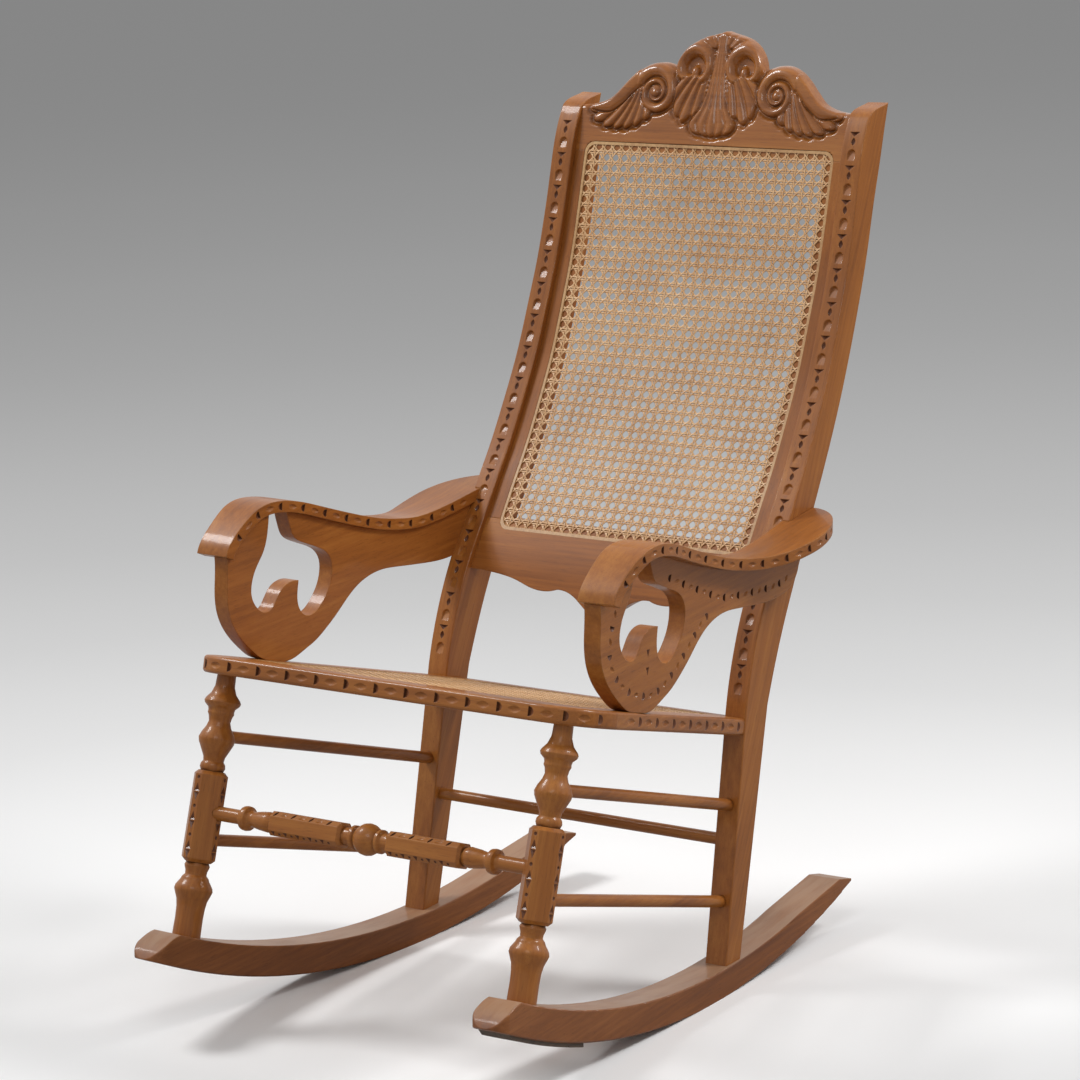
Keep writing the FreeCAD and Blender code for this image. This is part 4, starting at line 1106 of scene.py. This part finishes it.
    def _scroll(self, across: np.ndarray, height: np.ndarray) -> Relief:
        """Draw the middle scroll: a broad roll over a hollow with a bead in it.

        Args:
            across: Distances from the rail's middle.
            height: Heights on the rail.

        Returns:
            The motif's face and the places that it covers.
        """
        over, up, distance, angle = polar(across, height, self.scroll)
        angle = angle % 360.0
        outer = np.interp(angle, (0, 45, 90, 135, 180, 215, 250, 300, 335, 360),
                          (27, 32, 34, 31, 25, 22, 18, 15, 24, 27))
        inner = np.interp(angle, (0, 90, 180, 240, 300, 360), (12.5, 15, 11.5, 8, 8, 12.5))
        share = ((outer - distance) / (outer - inner)).clip(0.0, 1.0)
        shape = -self.sunk + 8.0 * np.sin(np.pi * share ** 0.8) ** 0.7
        bead = np.hypot(over / 5.6, (up + 3.0) / 7.6)
        hollow = np.where(bead < 1.0, -self.sunk + 5.5 * np.sqrt((1.0 - bead ** 2).clip(0)), -6.0)
        wound = (angle < 232.0) | (angle > 322.0)
        return np.where(distance < inner, hollow, shape), (distance < inner) | (distance < outer) & wound

    @staticmethod
    def _sheet(across: np.ndarray, height: np.ndarray, depth: np.ndarray) -> np.ndarray:
        """Return a sheet at a depth behind the back's curved front surface.

        Args:
            across: Distances from the rail's middle.
            height: Heights on the rail.
            depth: Depths of the sheet.

        Returns:
            The grid of points, in the part's frame.
        """
        curve = BACK_SURFACE.samples
        back = np.interp(height, curve[:, 1], curve[:, 0])
        slope = np.interp(height, curve[:, 1], np.gradient(curve[:, 0], curve[:, 1]))
        return STATIONS.world(np.stack([across, back + depth * np.hypot(1.0, slope), height], axis=-1))


# Chip carving


HALF_TURN = np.radians(np.linspace(-90, 90, 9))


class Cut(Enum):
    """The carver's cuts, named by their outline on the wood."""

    LENS = "lens"
    MOON = "moon"
    THUMB = "thumb"
    WEDGE = "wedge"
    DOT = "dot"


def arc(turns: np.ndarray, along: float, across: float, ahead: float = 0.0) -> list[Point]:
    """Return points of an ellipse with the given half axes, moved ahead."""
    return [(ahead + along * math.cos(turn), across * math.sin(turn)) for turn in turns]


@dataclass(frozen=True)
class Gouge:
    """One cut as a rounded or pointed body that is sunk into the wood.

    Each kind of cut gives its outline on the surface, as rows of along and across, and its floor, as rows of
    along, across and out of the surface.
    """

    cut: Cut
    length: float
    width: float
    depth: float
    # Whether the cut's hollow gets the darker chip wood as painted shade.
    shade_painted: bool = True
    lift: float = 0.9

    def body(self) -> np.ndarray:
        """Draw the cut.

        Returns:
            Points whose hull is the cut, as rows of along, across and out of the surface.
        """
        outline, floor = {Cut.LENS: self._lens, Cut.MOON: self._moon, Cut.THUMB: self._thumb,
                          Cut.WEDGE: self._wedge, Cut.DOT: self._dot}[self.cut]()
        outline = np.asarray(outline, float)
        brim = outline * np.array([1.0 + self.lift / self.length, 1.0 + self.lift / self.width])
        level = np.zeros((len(outline), 1))
        return np.concatenate([np.hstack([outline, level]), np.hstack([brim, level + self.lift]),
                               np.asarray(floor, float)])

    def _lens(self) -> tuple[list, list]:
        """Draw a long hollow with two pointed ends.

        Returns:
            The outline and the floor.
        """
        outline, floor = [], []
        for step in np.linspace(-1.0, 1.0, 9):
            swell = 1.0 - step ** 2
            along = step * self.length / 2
            floor.append((along, 0.0, -self.depth * swell))
            for side in (-1, 1):
                outline.append((along, side * self.width / 2 * swell))
                floor.append((along, side * self.width * 0.29 * swell, -self.depth * 0.75 * swell))
        return outline, floor

    def _moon(self) -> tuple[list, list]:
        """Draw a half moon with an upright wall along its straight side."""
        floor = [(0.10 * self.length, share * self.width, -self.depth) for share in (-0.28, 0.0, 0.28)]
        return arc(HALF_TURN, self.length, self.width / 2), floor

    def _thumb(self) -> tuple[list, list]:
        """Draw a thumbnail hollow: deep at its round end and running out at the other.

        Returns:
            The outline and the floor.
        """
        middle = self.length / 2 - self.width / 2
        outline = arc(HALF_TURN, self.width / 2, self.width / 2, middle)
        floor = [(*point, -self.depth) for point in arc(HALF_TURN, self.width * 0.34, self.width * 0.34, middle)]
        for side in (-1, 1):
            outline.append((-self.length / 2, side * self.width * 0.42))
            floor.append((-self.length / 2 + 0.6, side * self.width * 0.3, -0.15 * self.depth))
        return outline, floor

    def _wedge(self) -> tuple[list, list]:
        """Draw a three-sided chip that comes to a point."""
        length, width = self.length / 2, self.width / 2
        return [(length, -width), (length, width), (-length, 0.0)], [(self.length * 0.22, 0.0, -self.depth)]

    def _dot(self) -> tuple[list, list]:
        """Draw a small round hollow.

        Returns:
            The outline and the floor.
        """
        outline = arc(np.radians(np.arange(0, 360, 30)), self.length / 2, self.width / 2)
        slope = [(along * 0.6, across * 0.6, -0.7 * self.depth) for along, across in outline]
        return outline, slope + [(0.0, 0.0, -self.depth)]

    def hull(self) -> tuple[np.ndarray, list[tuple[int, ...]]]:
        """Close the cut to a solid.

        Returns:
            Its corners, and its faces by corner number.
        """
        shape = bmesh.new()
        for point in self.body():
            shape.verts.new(point)
        made = bmesh.ops.convex_hull(shape, input=list(shape.verts))
        spare = {piece for key in ("geom_interior", "geom_unused") for piece in made[key]
                 if isinstance(piece, bmesh.types.BMVert)}
        bmesh.ops.delete(shape, geom=list(spare), context="VERTS")
        bmesh.ops.recalc_face_normals(shape, faces=list(shape.faces))
        shape.verts.index_update()
        corners = np.array([tuple(corner.co) for corner in shape.verts])
        faces = [tuple(corner.index for corner in face.verts) for face in shape.faces]
        shape.free()
        return corners, faces


@dataclass(frozen=True)
class Stroke:
    """One cut within a motif: how far along the row it lies and how it is turned on the surface."""

    gouge: Gouge
    ahead: float = 0.0
    turn: float = 0.0


@dataclass(frozen=True)
class Stamp:
    """One cut set on the chair, in stations."""

    stroke: Stroke
    place: np.ndarray
    along: np.ndarray
    out: np.ndarray

    def axes(self) -> np.ndarray:
        """Turn the cut on the wood.

        Returns:
            Unit rows along the cut, across it and out of the wood.
        """
        out = self.out / np.linalg.norm(self.out)
        along = self.along - out * np.dot(self.along, out)
        along = along / np.linalg.norm(along)
        turn = math.radians(self.stroke.turn)
        first = along * math.cos(turn) + np.cross(out, along) * math.sin(turn)
        return np.stack([first, np.cross(out, first), out])


@dataclass(frozen=True)
class ChipRow:
    """Motifs that follow each other along a row at even steps."""

    motifs: tuple[tuple[Stroke, ...], ...]
    step: float

    def stamps(self, path: np.ndarray, out: np.ndarray, start: float = 0.0) -> list[Stamp]:
        """Set the motifs out along a path.

        Args:
            path: Rows of stations along the row's middle.
            out: The way the wood faces at each of them.
            start: Distance of the first motif from the path's start.

        Returns:
            The cuts of every motif.
        """
        run = np.concatenate([[0.0], np.cumsum(np.linalg.norm(np.diff(path, axis=0), axis=1))])

        def found(rows: np.ndarray, distance: float) -> np.ndarray:
            """Return the row at a distance along the path."""
            return np.array([np.interp(distance, run, column) for column in rows.T])

        placed = []
        for number, spot in enumerate(np.arange(start, run[-1] - start + 0.01, self.step)):
            for stroke in self.motifs[number % len(self.motifs)]:
                at = spot + stroke.ahead
                ahead = found(path, at + 1.0) - found(path, at - 1.0)
                placed.append(Stamp(stroke, found(path, at), ahead, found(out, at)))
        return placed


def carve(node: str, stamps: Sequence[Stamp], finish: Finish, crease: float = 20.0) -> bpy.types.Object:
    """Take cuts out of a copy of a CAD node.

    Args:
        node: The CAD node.
        stamps: The cuts.
        finish: Finish of the wood round the cuts.
        crease: Angle in degrees from which two faces meet at a hard edge.

    Returns:
        The carved piece, which stands for the node.
    """
    blank, skin = clean_blank(node, finish)
    piece = stand("carving_blank", blank)
    cutter = stand("carving_cutter", cutter_mesh(stamps, skin, finish))
    chips = piece.modifiers.new("chips", "BOOLEAN")
    chips.operation = "DIFFERENCE"
    chips.solver = "EXACT"
    chips.material_mode = "TRANSFER"
    chips.object = cutter
    piece.data = settled(piece)
    piece.modifiers.clear()
    if "custom_normal" in piece.data.attributes:
        piece.data.attributes.remove(piece.data.attributes["custom_normal"])
    piece.data.polygons.foreach_set("use_smooth", [True] * len(piece.data.polygons))
    piece.data.set_sharp_from_angle(angle=math.radians(crease))
    piece.modifiers.new("even", "WEIGHTED_NORMAL").keep_sharp = True
    carved = settled(piece)
    straighten_normals(carved)
    for helper in (piece, cutter):
        bpy.data.objects.remove(helper)
    carved.name = f"{node}_carved"
    return add_piece(f"{node}_carved", carved, node)


def clean_blank(node: str, finish: Finish) -> tuple[bpy.types.Mesh, BVHTree]:
    """Copy a CAD node for carving.

    Args:
        node: The CAD node.
        finish: Finish of the wood.

    Returns:
        The copy, in the part's frame and without doubled corners, and its surface for finding places on it.
    """
    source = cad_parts[node]
    blank = source.data.copy()
    blank.transform(source.matrix_world)
    shape = bmesh.new()
    shape.from_mesh(blank)
    bmesh.ops.remove_doubles(shape, verts=list(shape.verts), dist=WELD * MM)
    shape.to_mesh(blank)
    skin = BVHTree.FromBMesh(shape)
    shape.free()
    blank.materials.clear()
    blank.materials.append(finish.material())
    blank.polygons.foreach_set("material_index", [0] * len(blank.polygons))
    return blank, skin


def straighten_normals(mesh: bpy.types.Mesh, least: float = 0.8) -> None:
    """Give a corner its face's own normal where the shared one leans far off the face.

    Args:
        mesh: The mesh to change.
        least: Smallest dot product of a shared normal that is kept.
    """
    normals = [corner.vector.copy() for corner in mesh.corner_normals]
    for side in mesh.polygons:
        for corner in side.loop_indices:
            if normals[corner].dot(side.normal) < least:
                normals[corner] = side.normal.copy()
    mesh.normals_split_custom_set(normals)


def settled(piece: bpy.types.Object) -> bpy.types.Mesh:
    """Return a piece's mesh with its modifiers worked in."""
    graph = bpy.context.evaluated_depsgraph_get()
    return bpy.data.meshes.new_from_object(piece.evaluated_get(graph), preserve_all_data_layers=True,
                                           depsgraph=graph)


def cutter_mesh(stamps: Sequence[Stamp], skin: BVHTree, finish: Finish) -> bpy.types.Mesh:
    """Join all cuts, each settled on the wood below or above its place.

    Args:
        stamps: The cuts.
        skin: The wood's surface.
        finish: Finish of the hollows that keep the wood's own colour; the others get the chip wood, a darker copy
            painted in as shade.

    Returns:
        The mesh, in the part's frame.
    """
    reach = 6.0 * MM
    hulls = {stamp.stroke.gouge: stamp.stroke.gouge.hull() for stamp in stamps}
    points, faces, shades = [], [], []
    count = 0
    for stamp in stamps:
        corners, sides = hulls[stamp.stroke.gouge]
        axes = stamp.axes()
        spot, ahead = STATIONS.world(np.stack([stamp.place, stamp.place + axes[2]]))
        rise = (ahead - spot) / MM
        found = skin.ray_cast(Vector(spot + rise * reach), Vector(-rise), 2 * reach)[0]
        if found is None:
            continue
        points.append(STATIONS.world(stamp.place + corners @ axes) - spot + np.array(found))
        faces += [tuple(corner + count for corner in side) for side in sides]
        # Hollows with painted shade take the second, darker material.
        shades += [int(stamp.stroke.gouge.shade_painted)] * len(sides)
        count += len(corners)
    mesh = bpy.data.meshes.new("carving_cutter")
    mesh.from_pydata(np.concatenate(points).tolist(), [], faces)
    mesh.materials.append(finish.material())
    mesh.materials.append(WOOD_CHIP_SHADE.material())
    mesh.polygons.foreach_set("material_index", shades)
    mesh.update()
    return mesh


@dataclass
class PostCarving:
    """The row of thumbnails and forked chips up the front of each rear post."""

    spread: float = 213.6
    first: float = 334.0
    last: float = 957.0
    spacing: float = 2.0
    start: float = 8.0
    front: tuple[Point, ...] = (
        (350.5, 320), (371, 395), (390.5, 440), (417, 486), (445, 534), (462, 562), (492, 619), (518.5, 676),
        (539.5, 734), (555.5, 781), (568, 828), (578.5, 875), (588.5, 922), (604, 961))
    row: ChipRow = ChipRow((
        (Stroke(Gouge(Cut.THUMB, 13.6, 11.0, 2.6, shade_painted=False)),),
        (Stroke(Gouge(Cut.WEDGE, 5.8, 13.6, 2.6), 4.6), Stroke(Gouge(Cut.LENS, 9.6, 5.4, 2.0), -4.2))), 19.6)

    def build(self) -> None:
        """Carve both posts."""
        curve = SmoothCurve(self.front)
        run = np.arange(curve.distance_at(1, self.first), curve.distance_at(1, self.last), self.spacing)
        points = curve.at(run)
        out = np.column_stack([np.zeros(len(run)), -curve.normal(run)])
        for side, name in SIDES:
            path = np.column_stack([side * (self.spread - points[:, 1] * math.tan(POST_LEAN)), points])
            carve(f"rear_post_{name}", self.row.stamps(path, out, self.start), WOOD_UPRIGHT)


@dataclass
class SeatEdgeCarving:
    """The row of half moons and lenses round the seat's edge."""

    depth: float = 9.5
    joint: float = 47.0
    joint_clear: float = 11.0
    start: float = 16.0
    side_samples: int = 60
    front_samples: int = 100
    corner: tuple[Point, ...] = ((205, -25.5), (228, -24), (246, -17), (259, -3), (266, 17), (268, 42))
    front: Point = (204.5, -25.5)
    rear: Point = (222.6, 358.0)
    row: ChipRow = ChipRow((
        (Stroke(Gouge(Cut.MOON, 7.0, 11.0, 2.8)),),
        (Stroke(Gouge(Cut.LENS, 18.0, 7.6, 1.9, shade_painted=False), 2.6),)), 20.5)

    def build(self) -> None:
        """Carve the front rail and the two side rails."""
        side = np.linspace(self.corner[-1], self.rear, self.side_samples)[1:]
        half = np.concatenate([SmoothCurve(self.corner).samples, side])
        edge = np.linspace(-self.front[0], self.front[0], self.front_samples)
        front = np.column_stack([edge, np.full_like(edge, self.front[1])])
        plan = np.concatenate([half[::-1] * (-1, 1), front, half])
        ahead = np.gradient(plan, axis=0)
        ahead = ahead / np.linalg.norm(ahead, axis=1, keepdims=True)
        path = on_seat(*plan.T, self.depth)
        out = on_seat(plan[:, 0] + ahead[:, 1], plan[:, 1] - ahead[:, 0], self.depth) - path
        stamps = self.row.stamps(path, out, self.start)
        before = [stamp for stamp in stamps if self._back(stamp) < self.joint - self.joint_clear]
        carve("seat_front_rail", before, WOOD_ACROSS)
        behind = [stamp for stamp in stamps if self._back(stamp) > self.joint + self.joint_clear]
        for sign, name in SIDES:
            carve(f"seat_side_rail_{name}", [stamp for stamp in behind if sign * stamp.place[0] > 0], WOOD_ALONG)

    def _back(self, stamp: Stamp) -> float:
        """Return a cut's distance back along the tilted seat."""
        return (stamp.place[1] + self.depth * math.sin(SEAT_TILT)) / math.cos(SEAT_TILT)


@dataclass
class LegCarving:
    """The beads and paired chips on the four narrow facets of each front leg's block."""

    spread: float = 230.0
    top: float = 363.0
    apothem: float = 20.5
    first: float = 114.0
    last: float = 203.0
    start: float = 2.0
    clear: float = 13.0
    stretcher_at: float = 152.6
    rung_at: float = 184.1
    crease: float = 32.0
    samples: int = 40
    row: ChipRow = ChipRow((
        (Stroke(Gouge(Cut.DOT, 4.2, 4.2, 1.4)),),
        (Stroke(Gouge(Cut.WEDGE, 9.6, 7.4, 1.7)),),
        (Stroke(Gouge(Cut.WEDGE, 9.6, 7.4, 1.7), 0.0, 180.0),)), 10.6)

    def build(self) -> None:
        """Carve both legs."""
        down = np.array([0.0, -math.sin(LEG_LEAN), -math.cos(LEG_LEAN)])
        rear = np.array([0.0, math.cos(LEG_LEAN), -math.sin(LEG_LEAN)])
        sideways = np.array([1.0, 0.0, 0.0])
        run = np.linspace(self.first, self.last, self.samples)
        for side, name in SIDES:
            axis = np.array([side * self.spread, 0.0, self.top]) + run[:, None] * down
            stamps = []
            for out in (sideways, -sideways, rear, -rear):
                face = self.row.stamps(axis + out * self.apothem, np.tile(out, (len(run), 1)), self.start)
                if out is rear:
                    face = self._away(face, axis[0], down, self.rung_at)
                elif out[0] * side < 0:
                    face = self._away(face, axis[0], down, self.stretcher_at)
                stamps += face
            carve(f"front_leg_{name}", stamps, WOOD_LEG, self.crease)

    def _away(self, stamps: Sequence[Stamp], start: np.ndarray, down: np.ndarray, hole: float) -> list[Stamp]:
        """Return the cuts that keep clear of a joint hole at a distance down the leg."""
        return [stamp for stamp in stamps
                if abs(self.first + np.dot(stamp.place - start, down) - hole) > self.clear]


@dataclass
class StretcherCarving:
    """The notches and chips on the narrow facets of the front stretcher's two barrels."""

    axis: Point = (-38.67, 215.4)
    apothem: float = 15.0
    barrel: Point = (35.0, 127.0)
    facets: tuple[float, ...] = (45.0, 135.0, 225.0, 315.0)
    start: float = 5.0
    crease: float = 32.0
    samples: int = 40
    upper: ChipRow = ChipRow((
        (Stroke(Gouge(Cut.LENS, 8.6, 3.2, 2.0), 0.0, 62.0),),
        (Stroke(Gouge(Cut.LENS, 11.0, 5.4, 1.3, shade_painted=False), 0.0, 14.0),)), 12.4)
    lower: ChipRow = ChipRow((
        (Stroke(Gouge(Cut.WEDGE, 6.4, 6.2, 1.8), 0.0, 90.0),),
        (Stroke(Gouge(Cut.DOT, 3.6, 3.6, 1.2)),)), 8.6)

    def build(self) -> None:
        """Carve the stretcher."""
        stamps = []
        for facet in self.facets:
            turn = math.radians(facet) - LEG_LEAN
            out = np.array([0.0, math.cos(turn), math.sin(turn)])
            row = self.upper if facet < 180.0 else self.lower
            for side, _ in SIDES:
                across = np.linspace(*(side * np.array(self.barrel)), self.samples)[::side]
                path = np.column_stack([across, np.tile(self.axis, (self.samples, 1))]) + out * self.apothem
                stamps += row.stamps(path, np.tile(out, (self.samples, 1)), self.start)
        carve("front_stretcher", stamps, WOOD_ACROSS, self.crease)


@dataclass
class ArmCarving:
    """The rows of half moons and lenses along each arm board's edges and over its panel's outer face."""

    spread: float = 254.0
    taper: float = math.radians(3.5)
    thickness: float = 13.0
    panel_face: float = 10.0
    inner_edge: float = -14.5
    inner_end: float = 424.0
    spacing: float = 2.0
    ends_clear: Point = (26.0, 36.0)
    scroll_samples: int = 40
    start: float = 6.0
    top: tuple[Point, ...] = (
        (12, 491), (15, 499), (22, 508.5), (31, 517), (43, 526.5), (60, 537), (80, 543), (104, 543.5),
        (131, 539.5), (165, 530.5), (197, 521.5), (231, 512.5), (265, 505), (300, 500.5), (328, 499.5),
        (353, 502), (380, 507), (407, 513), (430, 518.5), (455, 524), (488, 530))
    outer: tuple[Point, ...] = (
        (31, 4), (31, 27), (33, 45), (35.5, 65), (36, 85), (34, 118), (28.5, 150), (25, 180), (24, 230),
        (25.5, 280), (30, 308), (36, 333), (44, 358), (50, 385), (52, 408), (49.5, 430), (42, 452),
        (29, 471), (12, 484), (-6, 489))
    bracket: tuple[Point, ...] = (
        (152, 499), (174, 491), (194, 483.5), (226, 473), (262, 461.5), (300, 458.5), (338, 457.5),
        (371, 457.5), (400, 461), (417, 469))
    foot: tuple[Point, ...] = (
        (236, 447), (218, 437), (203, 424.5), (186, 410.5), (168, 397.5), (150, 387), (130, 379),
        (112, 377.5), (94, 381), (76, 387), (60, 397), (46, 410), (37.5, 425), (37, 443), (41, 461), (50, 482))
    spur: tuple[Point, ...] = ((111, 398), (113, 434))
    edge_row: ChipRow = ChipRow((
        (Stroke(Gouge(Cut.MOON, 6.2, 8.6, 2.4), 0.0, 180.0),),
        (Stroke(Gouge(Cut.LENS, 14.0, 5.8, 1.6, shade_painted=False), -1.5),)), 18.5)
    face_row: ChipRow = ChipRow((
        (Stroke(Gouge(Cut.MOON, 5.6, 8.8, 2.4), 0.0, 180.0),),
        (Stroke(Gouge(Cut.LENS, 10.0, 5.4, 1.6, shade_painted=False), -1.5, 25.0),)), 15.0)
    spur_row: ChipRow = ChipRow(((Stroke(Gouge(Cut.WEDGE, 9.0, 6.0, 2.0)),),), 19.0)

    def build(self) -> None:
        """Carve both boards and both panels."""
        for side, name in SIDES:
            carve(f"arm_board_{name}", self._edges(side), WOOD_ALONG)
            carve(f"arm_panel_{name}", self._face(side), WOOD_ALONG)

    def _point(self, side: int, across: np.ndarray, back: np.ndarray, height: np.ndarray) -> np.ndarray:
        """Turn places in one arm's own plan into stations.

        Args:
            side: -1 for the left arm and 1 for the right one.
            across: Distances outwards from the arm's line.
            back: Distances back along it.
            height: Heights.

        Returns:
            Rows of across, back and height.
        """
        cosine, sine = math.cos(self.taper), math.sin(self.taper)
        outwards = self.spread + across * cosine - back * sine
        return np.column_stack([side * outwards, back * cosine + across * sine, height])

    def _edges(self, side: int) -> list[Stamp]:
        """Set out the rows along a board's outer and inner edges.

        Args:
            side: -1 for the left arm and 1 for the right one.

        Returns:
            The cuts.
        """
        curve = SmoothCurve(self.top)
        run = np.arange(self.ends_clear[0], curve.length - self.ends_clear[1], self.spacing)
        back, height = (curve.at(run) + curve.normal(run) * self.thickness / 2).T
        plan = SmoothCurve(self.outer).samples[:-self.scroll_samples]
        across = np.interp(back, plan[:, 1], plan[:, 0])
        path = self._point(side, across, back, height)
        out = self._point(side, across + 1.0, back - np.gradient(across, back), height) - path
        stamps = self.edge_row.stamps(path, out, self.start)
        inner = np.full_like(back, self.inner_edge)
        near = back < self.inner_end
        path = self._point(side, inner, back, height)[near]
        out = self._point(side, inner - 1.0, back, height)[near] - path
        return stamps + self.edge_row.stamps(path, out, self.start)

    def _face(self, side: int) -> list[Stamp]:
        """Set out the rows on a panel's outer face.

        Args:
            side: -1 for the left arm and 1 for the right one.

        Returns:
            The cuts.
        """
        rows = ((self.bracket, self.face_row), (self.foot, self.face_row), (self.spur, self.spur_row))
        stamps = []
        for points, row in rows:
            back, height = SmoothCurve(points).samples.T
            level = np.full_like(back, self.panel_face)
            path = self._point(side, level, back, height)
            out = self._point(side, level + 1.0, back, height) - path
            stamps += row.stamps(path, out, self.start)
        return stamps


# Members


@dataclass
class Members:
    """The finishes of the CAD members, single ones and those that come in pairs."""

    single: tuple[tuple[Finish, tuple[str, ...]], ...] = (
        (WOOD_ACROSS, ("crest_rail", "back_bottom_rail", "seat_front_rail", "seat_rear_rail", "front_stretcher",
                       "rear_stretcher")),
        (STRIP_WOOD, ("rocker_wear_strip_right",)),
        (SPLINE_REED, ("back_cane_spline", "seat_cane_spline")),
        (CANE, ("back_cane_panel", "seat_cane_panel")),
        (PIN_WOOD, ("arm_dowels", "back_dowels", "seat_dowels")))
    paired: tuple[tuple[Finish, tuple[str, ...]], ...] = (
        (WOOD_UPRIGHT, ("back_stile", "rear_post")),
        (WOOD_LEG, ("front_leg",)),
        (WOOD_ALONG, ("seat_side_rail", "arm_board", "arm_panel", "side_stretcher_lower", "side_stretcher_upper")),
        (WOOD_RUNNER, ("rocker",)))

    def build(self) -> None:
        """Dress every member."""
        for finish, nodes in self.single:
            for node in nodes:
                dress(node, finish)
        for finish, pairs in self.paired:
            for pair in pairs:
                for _, name in SIDES:
                    dress(f"{pair}_{name}", finish)


# Studio


@dataclass(frozen=True)
class Lamp:
    """One square soft box that looks at the chair's middle."""

    name: str
    spot: Spot
    size: float
    power: float
    aim: Spot = (0.0, 0.0, 0.5)

    def hang(self) -> None:
        """Add the lamp to the scene."""
        lamp = bpy.data.lights.new(self.name, "AREA")
        lamp.shape = "SQUARE"
        lamp.size = self.size
        lamp.energy = self.power
        holder = stand(self.name, lamp)
        holder.location = self.spot
        holder.rotation_euler = (Vector(self.aim) - Vector(self.spot)).to_track_quat("-Z", "Y").to_euler()


@dataclass
class Studio:
    """Pale floor that darkens away from the chair, soft lamps and the camera."""

    floor_radius: float = 40.0
    ambient: float = 0.36
    sheen: float = 0.80
    lamps: tuple[Lamp, ...] = (
        Lamp("lamp_left", (-2.5, -0.8, 3.3), 1.0, 77.0),
        Lamp("lamp_behind_right", (2.1, 1.7, 3.1), 1.0, 76.0),
        Lamp("lamp_front", (1.6, -2.6, 3.4), 1.6, 28.0))
    eye: Spot = (2.6940, -3.5545, 1.4959)
    right: Spot = (0.80344, 0.593544, -0.046713)
    up: Spot = (-0.09324, 0.202923, 0.974743)
    back: Spot = (0.58803, -0.778797, 0.218377)
    lens: float = 136.86

    def build(self) -> None:
        """Set the floor, the world, the lamps and the camera."""
        self._floor()
        self._world()
        for lamp in self.lamps:
            lamp.hang()
        self._camera()
        bpy.context.scene.view_settings.view_transform = "Standard"

    def _floor(self) -> None:
        """Lay the floor, which keeps the chair's shadow."""
        mesh = bpy.data.meshes.new("studio_floor")
        shape = bmesh.new()
        bmesh.ops.create_circle(shape, cap_ends=True, segments=96, radius=self.floor_radius)
        shape.to_mesh(mesh)
        shape.free()
        mesh.materials.append(FLOOR_PAINT.material())
        floor = stand("studio_floor", mesh)

    def _world(self) -> None:
        """Fill the room with even light and give polished wood pale walls to mirror."""
        world = bpy.data.worlds.new("studio_air")
        world.use_nodes = True
        graph = ShaderGraph(world.node_tree)
        air, walls = (graph.out("ShaderNodeBackground", {}, {"Color": (1, 1, 1, 1), "Strength": strength})
                      for strength in (self.ambient, self.sheen))
        mirrored = graph.out("ShaderNodeLightPath", output="Is Glossy Ray")
        both = graph.out("ShaderNodeMixShader", {}, {0: mirrored, 1: air, 2: walls})
        graph.node("ShaderNodeOutputWorld", {}, {"Surface": both})
        bpy.context.scene.world = world

    def _camera(self) -> None:
        """Stand the camera where the chair is seen from the front right."""
        camera = bpy.data.cameras.new("camera")
        camera.sensor_width = 36.0
        camera.lens = self.lens
        camera.clip_end = 200.0
        holder = stand("camera", camera)
        turn = Matrix((self.right, self.up, self.back)).transposed().to_4x4()
        holder.matrix_world = Matrix.Translation(self.eye) @ turn
        bpy.context.scene.camera = holder


def main() -> None:
    """Dress the chair, then set the studio round it."""
    logging.basicConfig(level=logging.INFO, format="%(name)s: %(message)s")
    assemblies = (Members(), CanedBack(), CanedSeat(), CrestCarving(), PostCarving(), SeatEdgeCarving(),
                  LegCarving(), StretcherCarving(), ArmCarving(), Studio())
    for assembly in assemblies:
        assembly.build()


if __name__ == "__main__":
    main()
